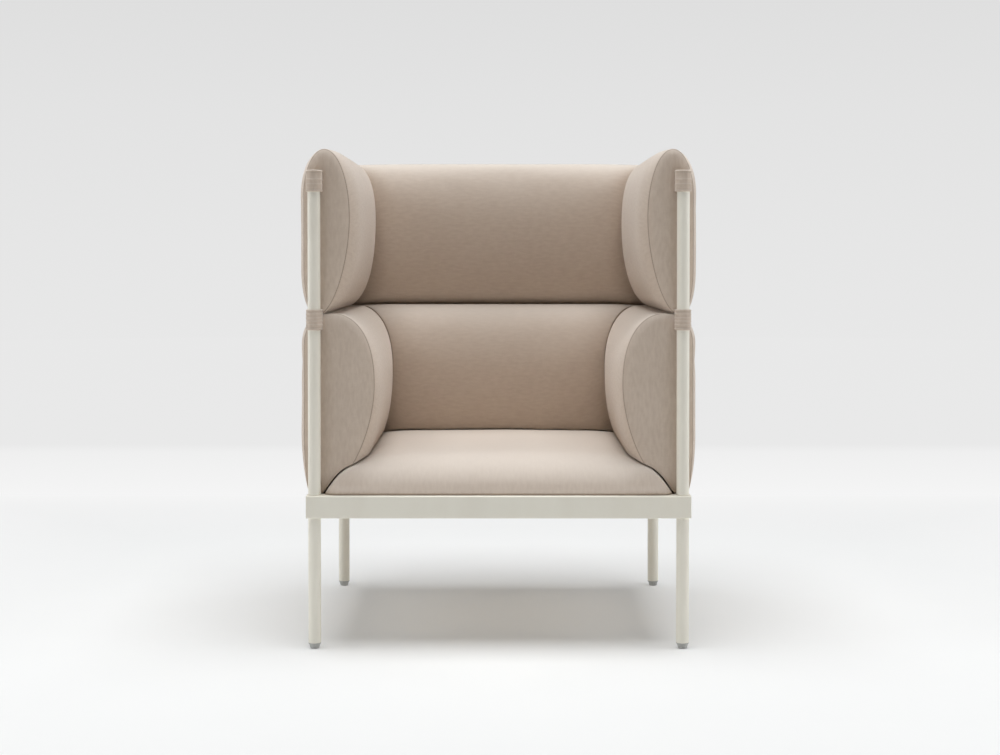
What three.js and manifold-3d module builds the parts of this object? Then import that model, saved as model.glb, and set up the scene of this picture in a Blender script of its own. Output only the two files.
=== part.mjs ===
// Acoustic high back lounge chair: a steel tube frame that carries seven rolled cushions.
// Millimetres, +Z up, front towards -Y, left is -X as seen from the front.
// The origin is on the floor, under the middle of the chair.
import * as THREE from 'three';
import { mergeVertices } from 'three/addons/utils/BufferGeometryUtils.js';
import Module from 'manifold-3d';

const wasm = await Module();
wasm.setup();

// Clearances shared by all pieces
const gap = 0.3; // between two pieces that touch
const overrun = 1; // how far a cut runs past the face that it opens

// Steel frame
const postSpanX = 815; // between post centres, side to side
const postSpanY = 700; // between post centres, front to rear
const tubeRadius = 14;
const tubeWall = 2;
const railTop = 340; // seat frame's top face above the floor
const railHeight = 50;
const railWidth = 35;
const railWall = 2;
const railEdgeRadius = 3;
const tabHeight = 20; // welded tabs that hold the panel boards
const tabThickness = 3;
const tabReach = 34; // into the cushion
const tabHoleRadius = 2.5;

// Leg fastening, from the leg through the seat frame into the post
const studRadius = 5;
const studClearance = 0.5;
const studGrip = 20; // length held in the post's bush
const plugLength = 25;
const bushLength = 28;

// Post cap
const capThickness = 1.5;
const capChamfer = 0.6;
const capPlugLength = 12;

// Levelling glide and its insert
const legFoot = 12.5; // lower end of the leg tube above the floor
const insertFlange = 2;
const insertLength = 30;
const insertChamfer = 0.8;
const glideTopRadius = 12;
const glidePadRadius = 10;
const glideChamfer = 1;
const glideShoulder = 2;
const fluteDepth = 0.7;
const glideStudRadius = 4;
const glideStudClearance = 0.25;
const glideStudLength = 27;

// Cushions that stand between the posts
const cushionOut = 24; // outer seam beyond the post centre line
const capClearance = 1; // between a post and the flat end of a cushion
const wingHeight = 363.5;
const wingRise = 49.2; // how far the upper cushions rise above the posts
const wingDepth = 99.5; // seam outline, outer face to belly
const wingFill = 18.5; // how far the filling swells the belly
const wingOuterFill = 12;
const armHeight = 400; // from the seat frame to where the upper cushions stand
const armDepth = 157;
const armFill = 13;
const armOuterFill = 14;
const crownRun = 90; // distance from an end seam to the full section
const mitreCrownRun = 75;
const crownPower = 2.5;

// Seat cushion
const seatSideInset = 21.5; // inside the post centre line
const seatRearInset = 22; // before the post centre line
const seatSetback = 13.5; // behind the front rail's face
const seatThickness = 90.5;
const seatEdge = 5; // thickness at the seam
const seatCrownPower = 8;

// Boards and brackets
const boardThickness = 12;
const boardMargin = 14; // from the end seam of a cushion to its board
const boardTopMargin = 46;
const boardFootMargin = 22;
const boardCornerRadius = 18;
const tabFootMargin = 14; // from a board's top or bottom edge to its tab
const seatBoardThickness = 18;
const seatBoardClearance = 1;
const bracketReach = 90;
const bracketThickness = 4;
const bracketNose = 14; // blunt ends of the bracket
const bracketHoleRadius = 3;
const bracketHoleInset = 30;

// Fabric sleeves round the posts
const sleeveThickness = 3;
const sleeveSwell = 0.4;
const sleeveEdge = 1.2;
const topSleeveHeight = 48;
const midSleeveHeight = 46;
const sleeveRise = 2; // top sleeve above the post cap
const midSleeveRise = 11; // mid sleeve above the junction

// Numbers of sides and steps
const tubeSides = 24;
const smallSides = 16;
const holeSides = 8;
const edgeSteps = 2;
const fluteCount = 14;
const quarterSteps = 8;
const cornerSteps = 4;
const sideSteps = 4;
const sleeveSteps = 6; // in a quarter turn

// Outline of a cushion's section: places are shares of its depth and height
const wingShares = { nose: 0.45, tip: 0.34, heel: 0.26, belly: 0.577, flankTop: 0.72, flankLow: 0.31 };
const wingMidShares = { nose: 0.45, tip: 0.3, heel: 0.22, belly: 0.577, flankTop: 0.74, flankLow: 0.27 };
const armShares = { nose: 0.366, tip: 0.2, heel: 0.08, belly: 0.6, flankTop: 0.8, flankLow: 0.36 };
const armMidShares = { nose: 0.38, tip: 0.2, heel: 0.08, belly: 0.6, flankTop: 0.82, flankLow: 0.34 };
const wingPowers = { topIn: 1.95, lowIn: 1.65, lowOut: 2.1, topOut: 1.9 };
const wingMidPowers = { topIn: 2.2, lowIn: 2.15, lowOut: 2.2, topOut: 2.2 };
const armPowers = { topIn: 2.3, lowIn: 1.75, lowOut: 2, topOut: 2.3 };
const armMidPowers = { topIn: 2.4, lowIn: 1.9, lowOut: 2, topOut: 2.4 };
const runShares = [0, 0.013, 0.04, 0.085, 0.15, 0.5, 0.86, 0.925, 0.965, 0.988, 1];
const seatRingShares = [0, 0.012, 0.032, 0.06, 0.1, 0.155, 0.24, 0.37, 0.58, 0.8];
const seatCornerShare = 0.08;
const seatCornerGrowthShare = 0.5;

// Places that follow from the sizes
const outerX = postSpanX / 2 + cushionOut;
const outerY = postSpanY / 2 + cushionOut;
const mitreRetreat = gap / Math.SQRT2;
const railBottom = railTop - railHeight;
const junctionHeight = railTop + armHeight;
const postFoot = railTop + gap;
const postHead = junctionHeight + wingHeight - wingRise;
const boreRadius = tubeRadius - tubeWall;
const plugRadius = boreRadius - gap;
const boardLow = cushionOut + tabThickness / 2 + gap;
const boardHigh = boardLow + boardThickness;
const cushionFoot = railTop + gap;
const frontReach = (postSpanY + railWidth) / 2;
const rearReach = outerY + Math.max(armOuterFill, wingOuterFill);
const seatFront = seatSetback - frontReach;
const seatRear = postSpanY / 2 - seatRearInset;
const seatWidth = postSpanX - seatSideInset * 2;
const seatDepth = seatRear - seatFront;

const steel = new THREE.MeshStandardMaterial({ color: 0xded8cb, roughness: 0.5, metalness: 0.1 });
const zinc = new THREE.MeshStandardMaterial({ color: 0xb4b6b8, roughness: 0.35, metalness: 1 });
const plastic = new THREE.MeshStandardMaterial({ color: 0x787876, roughness: 0.6, metalness: 0 });
const palePlastic = new THREE.MeshStandardMaterial({ color: 0xd8d2c6, roughness: 0.55, metalness: 0 });
const fabric = new THREE.MeshStandardMaterial({ color: 0xcdbeb0, roughness: 0.95, metalness: 0 });
const plywood = new THREE.MeshStandardMaterial({ color: 0xc8a878, roughness: 0.75, metalness: 0 });

const chair = new THREE.Group();
chair.position.y = (frontReach - rearReach) / 2;

function addPiece(name, geometry, material) {
  const piece = new THREE.Mesh(geometry, material);
  piece.name = name;
  chair.add(piece);
}

// Six times the volume inside a skin, negative when its faces point inwards
function signedVolume(corners, faces) {
  const point = (i) => new THREE.Vector3().fromArray(corners, i * 3);
  let sum = 0;
  for (let i = 0; i < faces.length; i += 3) {
    sum += point(faces[i]).dot(point(faces[i + 1]).cross(point(faces[i + 2])));
  }
  return sum;
}

// One closed skin with shared corners and its faces pointing out
function closed(geometry) {
  const bare = geometry.clone();
  bare.deleteAttribute('normal');
  bare.deleteAttribute('uv');
  const merged = mergeVertices(bare);
  const corners = merged.attributes.position.array;
  const faces = [];
  for (let i = 0; i < merged.index.count; i += 3) {
    const [a, b, c] = merged.index.array.slice(i, i + 3);
    if (a !== b && b !== c && c !== a) faces.push(a, b, c);
  }
  if (signedVolume(corners, faces) < 0) faces.reverse();
  merged.setIndex(faces);
  merged.computeVertexNormals();
  return merged;
}

function toSolid(geometry) {
  const skin = closed(geometry);
  return new wasm.Manifold(new wasm.Mesh({
    numProp: 3,
    vertProperties: skin.attributes.position.array,
    triVerts: Uint32Array.from(skin.index.array),
  }));
}

function toGeometry(solid) {
  const mesh = solid.getMesh();
  const geometry = new THREE.BufferGeometry();
  geometry.setAttribute('position', new THREE.BufferAttribute(mesh.vertProperties, 3));
  geometry.setIndex(new THREE.BufferAttribute(mesh.triVerts, 1));
  geometry.computeVertexNormals();
  return geometry;
}

function cut(geometry, cutters) {
  return toGeometry(cutters.reduce((solid, cutter) => solid.subtract(toSolid(cutter)), toSolid(geometry)));
}

function joined(geometries) {
  const [first, ...rest] = geometries.map(toSolid);
  return toGeometry(rest.reduce((solid, other) => solid.add(other), first));
}

// A skin through rings of points, closed by a fan at each end
function loft(rings, tail = middle(rings[0]), head = middle(rings.at(-1))) {
  const count = rings[0].length;
  const points = [...rings.flat(), tail, head];
  const tailIndex = points.length - 2;
  const headIndex = points.length - 1;
  const last = (rings.length - 1) * count;
  const faces = [];
  for (let i = 0; i < count; i++) {
    const j = (i + 1) % count;
    faces.push(tailIndex, j, i, headIndex, last + i, last + j);
    for (let base = 0; base < last; base += count) {
      faces.push(base + i, base + j, base + count + j);
      faces.push(base + i, base + count + j, base + count + i);
    }
  }
  const geometry = new THREE.BufferGeometry().setFromPoints(points);
  geometry.setIndex(faces);
  return closed(geometry);
}

function middle(ring) {
  return ring.reduce((sum, point) => sum.add(point), new THREE.Vector3()).divideScalar(ring.length);
}

// A turned piece: the profile is a list of radius and height
function turned(profile, sides = tubeSides) {
  const points = profile.map(([radius, height]) => new THREE.Vector2(radius, height));
  return new THREE.LatheGeometry(points, sides).rotateX(Math.PI / 2);
}

function pipe(inner, outer, low, high, sides = tubeSides) {
  return turned([[inner, low], [outer, low], [outer, high], [inner, high], [inner, low]], sides);
}

function drill(radius, low, high, sides = smallSides) {
  return turned([[0, low], [radius, low], [radius, high], [0, high]], sides);
}

function box(low, high) {
  const bounds = new THREE.Box3().setFromPoints([low, high]);
  const size = bounds.getSize(new THREE.Vector3());
  const centre = bounds.getCenter(new THREE.Vector3());
  return new THREE.BoxGeometry(size.x, size.y, size.z).translate(centre.x, centre.y, centre.z);
}

// Points of an arc that starts at a quarter turn and sweeps a number of quarter turns
function arc(x, y, radius, startQuarter, quarters, steps) {
  return Array.from({ length: steps + 1 }, (_, i) => {
    const angle = (startQuarter + quarters * i / steps) * Math.PI / 2;
    return new THREE.Vector2(x + radius * Math.cos(angle), y + radius * Math.sin(angle));
  });
}

// A rectangle with round corners, anticlockwise from its far right corner
function roundedPoints(lowX, lowY, highX, highY, radius, steps) {
  return [
    ...arc(highX - radius, highY - radius, radius, 0, 1, steps),
    ...arc(lowX + radius, highY - radius, radius, 1, 1, steps),
    ...arc(lowX + radius, lowY + radius, radius, 2, 1, steps),
    ...arc(highX - radius, lowY + radius, radius, 3, 1, steps),
  ];
}

function roundedRectangle(lowX, lowY, highX, highY, radius) {
  return new THREE.Shape(roundedPoints(lowX, lowY, highX, highY, radius, edgeSteps));
}

function roundHole(x, y, radius) {
  return new THREE.Path(arc(x, y, radius, 0, 4, holeSides).slice(0, -1));
}

function plate(shape, thickness) {
  return new THREE.ExtrudeGeometry(shape, { depth: thickness, bevelEnabled: false });
}

// Rectangular tube along X, centred on its length
function railBar(length, inset) {
  const radius = Math.max(railEdgeRadius - inset, inset / 2);
  const shape = roundedRectangle(
    inset - railWidth / 2, railBottom + inset, railWidth / 2 - inset, railTop - inset, radius);
  return plate(shape, length).translate(0, 0, -length / 2).rotateX(Math.PI / 2).rotateZ(Math.PI / 2);
}

// Front and rear rails run the full width, with closed ends and holes for the leg studs
function crossRail() {
  const length = postSpanX + railWidth;
  const hole = drill(studRadius + studClearance, railBottom - overrun, railTop + overrun);
  const holes = [-1, 1].map((side) => hole.clone().translate(side * postSpanX / 2, 0, 0));
  return cut(railBar(length, 0), [railBar(length - railWall * 2, railWall), ...holes]);
}

// Side rails stand between the cross rails, open at both ends
function sideRail() {
  const length = postSpanY - railWidth - gap * 2;
  return cut(railBar(length, 0), [railBar(length + overrun * 2, railWall)]).rotateZ(Math.PI / 2);
}

function addRails() {
  addPiece('front_rail', crossRail().translate(0, -postSpanY / 2, 0), steel);
  addPiece('rear_rail', crossRail().translate(0, postSpanY / 2, 0), steel);
  addPiece('left_side_rail', sideRail().translate(-postSpanX / 2, 0, 0), steel);
  addPiece('right_side_rail', sideRail().translate(postSpanX / 2, 0, 0), steel);
}

// Where a run along a side, an inward depth and a height lie on each of the three walls
const walls = {
  left: (run, depth, height) => new THREE.Vector3(depth - outerX, run, height),
  right: (run, depth, height) => new THREE.Vector3(outerX - depth, run, height),
  back: (run, depth, height) => new THREE.Vector3(run, outerY - depth, height),
};

// Places a flat piece drawn with run across, height up and depth as its thickness
function onWall(geometry, wall) {
  const moved = geometry.clone();
  const position = moved.attributes.position;
  for (let i = 0; i < position.count; i++) {
    const place = walls[wall](position.getX(i), position.getZ(i), position.getY(i));
    position.setXYZ(i, place.x, place.y, place.z);
  }
  return closed(moved);
}

// The two ends of a wall's run: where its cushions stop at the posts
const wallRuns = {
  left: { low: -postSpanY / 2, high: postSpanY / 2, squareStart: true },
  right: { low: -postSpanY / 2, high: postSpanY / 2, squareStart: true },
  back: { low: -postSpanX / 2, high: postSpanX / 2, squareStart: false },
};
const postRoom = tubeRadius + capClearance;

// Where a cushion's end lies at a depth: square at the post, then mitred at 45 degrees
function mitredEnd(postRun, depth) {
  return Math.min(postRun - postRoom, postRun + cushionOut - depth - mitreRetreat);
}

// Heights and holes of the four boards on one wall, and of the tabs that hold them
const lowerBoard = {
  low: cushionFoot + boardFootMargin,
  high: junctionHeight - boardTopMargin,
};
const upperBoard = {
  low: junctionHeight + boardFootMargin,
  high: junctionHeight + wingHeight - boardTopMargin,
};

function tabHeights(board) {
  const inset = tabFootMargin + tabHeight / 2;
  return [board.low + inset, board.high - inset];
}

const allTabHeights = [lowerBoard, upperBoard].flatMap(tabHeights);

// A welded tab from a post into a wall's cushion; way is +1 or -1 along the run
function tab(wall, postRun, way, height) {
  const root = postRun + way * (tubeRadius - tubeWall / 2);
  const tip = postRun + way * (postRoom + tabReach);
  const [low, high] = [Math.min(root, tip), Math.max(root, tip)];
  const shape = new THREE.Shape([
    new THREE.Vector2(low, height - tabHeight / 2),
    new THREE.Vector2(high, height - tabHeight / 2),
    new THREE.Vector2(high, height + tabHeight / 2),
    new THREE.Vector2(low, height + tabHeight / 2),
  ]);
  shape.holes.push(roundHole(tip - way * tabReach / 3, height, tabHoleRadius));
  return onWall(plate(shape, tabThickness).translate(0, 0, cushionOut - tabThickness / 2), wall);
}

// An upright: a tube with its welded tabs
function post(corner) {
  const tube = pipe(boreRadius, tubeRadius, postFoot, postHead);
  tube.translate(corner.x * postSpanX / 2, corner.y * postSpanY / 2, 0);
  const sideWall = corner.x < 0 ? 'left' : 'right';
  const tabs = allTabHeights.map((height) => tab(sideWall, corner.y * postSpanY / 2, -corner.y, height));
  if (corner.y > 0) {
    tabs.push(...allTabHeights.map((height) => tab('back', corner.x * postSpanX / 2, -corner.x, height)));
  }
  return joined([tube, ...tabs]);
}

function postCap() {
  const top = postHead + gap;
  return turned([
    [0, top - capPlugLength],
    [plugRadius, top - capPlugLength],
    [plugRadius, top],
    [tubeRadius, top],
    [tubeRadius, top + capThickness - capChamfer],
    [tubeRadius - capChamfer, top + capThickness],
    [0, top + capThickness],
  ]);
}

// Plug in the leg's upper end, with the stud that passes through the seat frame
function legStud() {
  const seat = railBottom - gap;
  return turned([
    [0, seat - plugLength],
    [plugRadius, seat - plugLength],
    [plugRadius, seat],
    [studRadius, seat],
    [studRadius, postFoot + studGrip],
    [0, postFoot + studGrip],
  ], smallSides);
}

function postBush() {
  return pipe(studRadius + studClearance, plugRadius, postFoot, postFoot + bushLength, smallSides);
}

function leg() {
  return pipe(boreRadius, tubeRadius, legFoot, railBottom - gap);
}

// Flanged insert that closes the leg's lower end and guides the glide
function legInsert() {
  const bore = glideStudRadius + glideStudClearance;
  const seat = legFoot - gap;
  const top = legFoot + insertLength;
  return turned([
    [bore, seat - insertFlange],
    [tubeRadius, seat - insertFlange],
    [tubeRadius, seat],
    [plugRadius, seat],
    [plugRadius, top - insertChamfer],
    [plugRadius - insertChamfer, top],
    [bore, top],
    [bore, seat - insertFlange],
  ], smallSides);
}

// A ring of points with shallow flutes
function flutedRing(radius, height) {
  return Array.from({ length: fluteCount * 2 }, (_, i) => {
    const angle = Math.PI * i / fluteCount;
    const reach = i % 2 ? radius - fluteDepth : radius;
    return new THREE.Vector3(reach * Math.cos(angle), reach * Math.sin(angle), height);
  });
}

// Levelling glide: a fluted foot that tapers to its pad, on a threaded stud
function glide() {
  const top = legFoot - gap - insertFlange - gap;
  const foot = loft([
    flutedRing(glidePadRadius - glideChamfer, 0),
    flutedRing(glidePadRadius, glideChamfer),
    flutedRing(glideTopRadius, top - glideShoulder),
    flutedRing(glideTopRadius, top),
  ]);
  return joined([foot, drill(glideStudRadius, top - glideShoulder, top + glideStudLength)]);
}

// Half of a sleeve's path round a post: straight off a cushion's end, then a quarter turn
function sleeveQuarter(reach, offset) {
  const points = [new THREE.Vector2(-offset, reach)];
  for (let i = 0; i <= sleeveSteps; i++) {
    const angle = Math.PI + (Math.PI / 2) * i / sleeveSteps;
    points.push(new THREE.Vector2(offset * Math.cos(angle), offset * Math.sin(angle)));
  }
  return points;
}

// Path for the outline of a left sleeve: a U at the front, an elbow at the rear
function sleevePath(corner, offset) {
  const reach = postRoom - gap;
  const quarter = sleeveQuarter(reach, offset);
  if (corner.y < 0) {
    const mirrored = quarter.slice(0, -1).map((point) => new THREE.Vector2(-point.x, point.y)).reverse();
    return [...quarter, ...mirrored];
  }
  const elbow = quarter.map((point) => new THREE.Vector2(point.x, -point.y));
  return [...elbow, new THREE.Vector2(reach, offset)];
}

// Wall of a sleeve: offset from the post and height, slightly full in the middle
function sleeveWall(height) {
  const inner = tubeRadius + gap;
  const outer = inner + sleeveThickness;
  return [
    [inner, 0],
    [outer - sleeveEdge, 0],
    [outer, sleeveEdge],
    [outer + sleeveSwell, height / 2],
    [outer, height - sleeveEdge],
    [outer - sleeveEdge, height],
    [inner, height],
  ];
}

function sleeve(corner, low, height) {
  const paths = sleeveWall(height).map(([offset, rise]) => ({ rise, path: sleevePath(corner, offset) }));
  const stations = paths[0].path.length;
  const rings = Array.from({ length: stations }, (_, i) => paths.map(({ rise, path }) => new THREE.Vector3(
    -corner.x * path[i].x + corner.x * postSpanX / 2, path[i].y + corner.y * postSpanY / 2, low + rise)));
  return loft(rings);
}

// The seven pieces that each corner of the frame has, and its two sleeves
function addCorner(corner) {
  const x = corner.x * postSpanX / 2;
  const y = corner.y * postSpanY / 2;
  addPiece(`post_${corner.name}`, post(corner), steel);
  addPiece(`post_cap_${corner.name}`, closed(postCap()).translate(x, y, 0), palePlastic);
  addPiece(`post_bush_${corner.name}`, closed(postBush()).translate(x, y, 0), zinc);
  addPiece(`leg_stud_${corner.name}`, closed(legStud()).translate(x, y, 0), zinc);
  addPiece(`leg_${corner.name}`, closed(leg()).translate(x, y, 0), steel);
  addPiece(`leg_insert_${corner.name}`, closed(legInsert()).translate(x, y, 0), plastic);
  addPiece(`glide_${corner.name}`, glide().translate(x, y, 0), plastic);
  const capTop = postHead + gap + capThickness;
  const topLow = capTop + sleeveRise - topSleeveHeight;
  const midLow = junctionHeight + midSleeveRise - midSleeveHeight;
  addPiece(`sleeve_top_${corner.name}`, sleeve(corner, topLow, topSleeveHeight), fabric);
  addPiece(`sleeve_mid_${corner.name}`, sleeve(corner, midLow, midSleeveHeight), fabric);
}

// Gusset in a corner of the seat frame, under the seat board
function cornerBracket(corner) {
  const shape = new THREE.Shape();
  shape.moveTo(0, 0);
  shape.lineTo(bracketReach, 0);
  shape.lineTo(bracketReach, bracketNose);
  shape.lineTo(bracketNose, bracketReach);
  shape.lineTo(0, bracketReach);
  shape.holes.push(roundHole(bracketHoleInset, bracketHoleInset, bracketHoleRadius));
  const top = railTop - seatBoardThickness - gap;
  const flat = closed(plate(shape, bracketThickness));
  flat.scale(-corner.x, -corner.y, 1);
  const room = railWidth / 2 + gap;
  flat.translate(
    corner.x * (postSpanX / 2 - room), corner.y * (postSpanY / 2 - room), top - bracketThickness);
  return closed(flat);
}

// Board that carries the seat, let in between the rails
function seatBoard() {
  const halfX = (postSpanX - railWidth) / 2 - seatBoardClearance;
  const halfY = (postSpanY - railWidth) / 2 - seatBoardClearance;
  const shape = roundedRectangle(-halfX, -halfY, halfX, halfY, boardCornerRadius / 2);
  const inset = railWidth / 2 + gap + bracketHoleInset;
  for (const { x, y } of corners) {
    shape.holes.push(roundHole(
      x * (postSpanX / 2 - inset), y * (postSpanY / 2 - inset), bracketHoleRadius));
  }
  return closed(plate(shape, seatBoardThickness).translate(0, 0, railTop - seatBoardThickness));
}

// Board inside one standing cushion, with a hole for each tab's screw
function panelBoard(wall, board) {
  const { low, high } = wallRuns[wall];
  const room = postRoom + boardMargin;
  const shape = roundedRectangle(low + room, board.low, high - room, board.high, boardCornerRadius);
  const holeRoom = postRoom + tabReach * 2 / 3;
  for (const height of tabHeights(board)) {
    shape.holes.push(roundHole(low + holeRoom, height, tabHoleRadius));
    shape.holes.push(roundHole(high - holeRoom, height, tabHoleRadius));
  }
  return onWall(plate(shape, boardThickness).translate(0, 0, boardLow), wall);
}

// A quarter of a superellipse from one axis to the next, as depth and height
function quarter(centre, radii, power, startTurn, steps) {
  const share = (value) => Math.sign(value) * Math.abs(value) ** (2 / power);
  return steps.map((step) => {
    const angle = (startTurn - step / quarterSteps) * Math.PI / 2;
    return [centre[0] + radii[0] * share(Math.cos(angle)), centre[1] + radii[1] * share(Math.sin(angle))];
  });
}

// Outline of a standing cushion's section, from its nose round the belly to its flank
function section(depth, outerFill, fill, low, high, shares, powers) {
  const height = high - low;
  const nose = depth * shares.nose;
  const tip = depth * shares.tip;
  const heel = depth * shares.heel;
  const belly = low + height * shares.belly;
  const flankTop = low + height * shares.flankTop;
  const flankLow = low + height * shares.flankLow;
  const steps = [...Array(quarterSteps + 1).keys()];
  const open = steps.slice(0, -1);
  return [
    ...quarter([nose, belly], [depth + fill - nose, high - belly], powers.topIn, 1, open),
    ...quarter([tip, belly], [depth + fill - tip, belly - low], powers.lowIn, 0, steps),
    ...quarter([heel, flankLow], [heel + outerFill, flankLow - low], powers.lowOut, -1, steps),
    ...quarter([nose, flankTop], [nose + outerFill, high - flankTop], powers.topOut, -2, open),
  ];
}

// How full the section is at a distance from an end seam, from 0 to 1
function crown(distance, run) {
  return 1 - (1 - Math.min(Math.max(distance, 0) / run, 1)) ** crownPower;
}

// The skin of a standing cushion: the seam outline at its ends swells to the full section
function cushionSkin(wall, seam, full, shares) {
  const { low, high, squareStart } = wallRuns[wall];
  const rings = shares.map((share) => seam.map(([depth, height], i) => {
    const start = squareStart ? low + postRoom : -mitredEnd(-low, depth);
    const end = mitredEnd(high, depth);
    const run = start + share * (end - start);
    const startRun = squareStart ? crownRun : mitreCrownRun;
    const fullness = crown(run - start, startRun) * crown(end - run, mitreCrownRun);
    const reach = depth + (full[i][0] - depth) * fullness;
    return walls[wall](run, reach, height + (full[i][1] - height) * fullness);
  }));
  return loft(rings, endMiddle(wall, seam, true), endMiddle(wall, seam, false));
}

// Middle of a cushion's end face, kept on the plane of that face
function endMiddle(wall, seam, atStart) {
  const { low, high, squareStart } = wallRuns[wall];
  const depth = seam.reduce((sum, point) => sum + point[0], 0) / seam.length;
  const height = seam.reduce((sum, point) => sum + point[1], 0) / seam.length;
  if (!atStart) return walls[wall](mitredEnd(high, depth), depth, height);
  return walls[wall](squareStart ? low + postRoom : -mitredEnd(-low, depth), depth, height);
}

// The room inside a cushion for its board, and the slits for the tabs
function pockets(wall, board) {
  const { low, high } = wallRuns[wall];
  const room = postRoom + boardMargin - gap;
  const outer = cushionOut - tabThickness / 2 - gap;
  const place = walls[wall];
  const pocket = box(
    place(low + room, outer, board.low - gap), place(high - room, boardHigh + gap, board.high + gap));
  const half = tabHeight / 2 + gap;
  const slits = tabHeights(board).map((height) => box(
    place(low, outer, height - half), place(high, boardLow, height + half)));
  return [pocket, ...slits];
}

const shapes = {
  wing: {
    board: upperBoard,
    seam: section(wingDepth, 0, 0, junctionHeight + gap, junctionHeight + wingHeight, wingShares, wingPowers),
    full: section(
      wingDepth, wingOuterFill, wingFill, junctionHeight + gap, junctionHeight + wingHeight,
      wingMidShares, wingMidPowers),
  },
  arm: {
    board: lowerBoard,
    seam: section(armDepth, 0, 0, cushionFoot, junctionHeight - gap, armShares, armPowers),
    full: section(
      armDepth, armOuterFill, armFill, cushionFoot, junctionHeight - gap, armMidShares, armMidPowers),
  },
};

// One ring of the seat: a rectangle with round corners, drawn in by a share
function seatRing(share, grow, height) {
  const halfX = (seatWidth / 2 + grow) * (1 - share);
  const halfY = (seatDepth / 2 + grow) * (1 - share);
  const radius = Math.min(halfX, halfY) * (seatCornerShare + seatCornerGrowthShare * share);
  const centreY = (seatFront + seatRear) / 2;
  const outline = roundedPoints(-halfX, -halfY, halfX, halfY, radius, cornerSteps);
  return outline.flatMap((point, i) => {
    const next = outline[(i + 1) % outline.length];
    const steps = (i + 1) % (cornerSteps + 1) ? 1 : sideSteps;
    return Array.from({ length: steps }, (_, k) => {
      const { x, y } = point.clone().lerp(next, k / steps);
      return new THREE.Vector3(x, y + centreY, height);
    });
  });
}

// Crowned seat cushion; grow makes the larger copy that its neighbours are cut by
function seatSkin(grow) {
  const base = cushionFoot - grow;
  const rise = (share) => cushionFoot + seatEdge
    + (seatThickness - seatEdge) * (1 - (1 - share) ** seatCrownPower) + grow;
  const rings = [seatRing(0, grow, base), ...seatRingShares.map((share) => seatRing(share, grow, rise(share)))];
  const centre = middle(rings[0]);
  return loft(rings, centre, centre.clone().setZ(rise(1)));
}

function cushion(wall, kind, shares, cutters) {
  const { board, seam, full } = shapes[kind];
  return cut(cushionSkin(wall, seam, full, shares), [...pockets(wall, board), ...cutters]);
}

function addCushions() {
  addPiece('seat_cushion', seatSkin(0), fabric);
  const seatRoom = seatSkin(gap);
  for (const side of ['left', 'right']) {
    addPiece(`${side}_arm_cushion`, cushion(side, 'arm', runShares, [seatRoom]), fabric);
    addPiece(`${side}_wing_cushion`, cushion(side, 'wing', runShares, []), fabric);
    addPiece(`${side}_arm_board`, panelBoard(side, lowerBoard), plywood);
    addPiece(`${side}_wing_board`, panelBoard(side, upperBoard), plywood);
  }
  addPiece('lower_back_cushion', cushion('back', 'arm', runShares, [seatRoom]), fabric);
  addPiece('upper_back_cushion', cushion('back', 'wing', runShares, []), fabric);
  addPiece('lower_back_board', panelBoard('back', lowerBoard), plywood);
  addPiece('upper_back_board', panelBoard('back', upperBoard), plywood);
}

const corners = [
  { name: 'front_left', x: -1, y: -1 },
  { name: 'front_right', x: 1, y: -1 },
  { name: 'rear_left', x: -1, y: 1 },
  { name: 'rear_right', x: 1, y: 1 },
];

addRails();
for (const corner of corners) {
  addCorner(corner);
  addPiece(`corner_bracket_${corner.name}`, cornerBracket(corner), steel);
}
addPiece('seat_board', seatBoard(), plywood);
addCushions();

export default chair;
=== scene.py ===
"""Looks of an acoustic high back lounge chair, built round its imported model.

Seven rolled cushions stand in a steel tube frame. Every piece is in metres, +Z up,
with the chair's front towards -Y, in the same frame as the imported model.
"""
import sys
import logging
import math
from collections.abc import Iterable, Sequence
from dataclasses import dataclass, field
from enum import Enum

import bmesh
import bpy
import numpy as np
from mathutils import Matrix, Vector, noise
from mathutils.bvhtree import BVHTree


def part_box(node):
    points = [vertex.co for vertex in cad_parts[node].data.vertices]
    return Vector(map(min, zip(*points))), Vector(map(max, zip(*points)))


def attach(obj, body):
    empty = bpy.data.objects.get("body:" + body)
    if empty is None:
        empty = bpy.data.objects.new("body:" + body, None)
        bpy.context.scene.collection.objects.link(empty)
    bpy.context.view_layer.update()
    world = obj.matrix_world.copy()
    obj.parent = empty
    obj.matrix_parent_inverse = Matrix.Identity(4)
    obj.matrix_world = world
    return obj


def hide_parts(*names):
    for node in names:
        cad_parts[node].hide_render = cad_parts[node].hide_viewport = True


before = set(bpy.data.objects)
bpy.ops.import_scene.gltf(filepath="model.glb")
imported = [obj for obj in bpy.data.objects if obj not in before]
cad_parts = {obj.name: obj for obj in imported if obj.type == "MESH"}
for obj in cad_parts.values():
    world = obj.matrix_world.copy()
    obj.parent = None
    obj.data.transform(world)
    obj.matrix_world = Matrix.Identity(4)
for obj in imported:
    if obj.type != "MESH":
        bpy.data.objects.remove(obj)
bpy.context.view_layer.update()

log = logging.getLogger("lounge_chair")

Colour = tuple[float, float, float]
Point2 = tuple[float, float]
Socket = bpy.types.NodeSocket
BMesh = bmesh.types.BMesh
BMVert = bmesh.types.BMVert

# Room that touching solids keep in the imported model.
GAP = 0.0003
MM = 0.001
# Where most values of fractal noise lie.
NOISE_SPAN = (0.3, 0.7)
# Maps, layers and groups that the meshes carry.
WEAVE_MAP = "weave"
# The seam layer holds each point's closeness to a seam, and the cloth is darkened there as painted shade.
SEAM_LAYER = "seam"
ALONG_LAYER = "along"
STEP_LAYER = "step"
STATION_LAYER = "station"
PIN_GROUP = "pinned"


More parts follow.
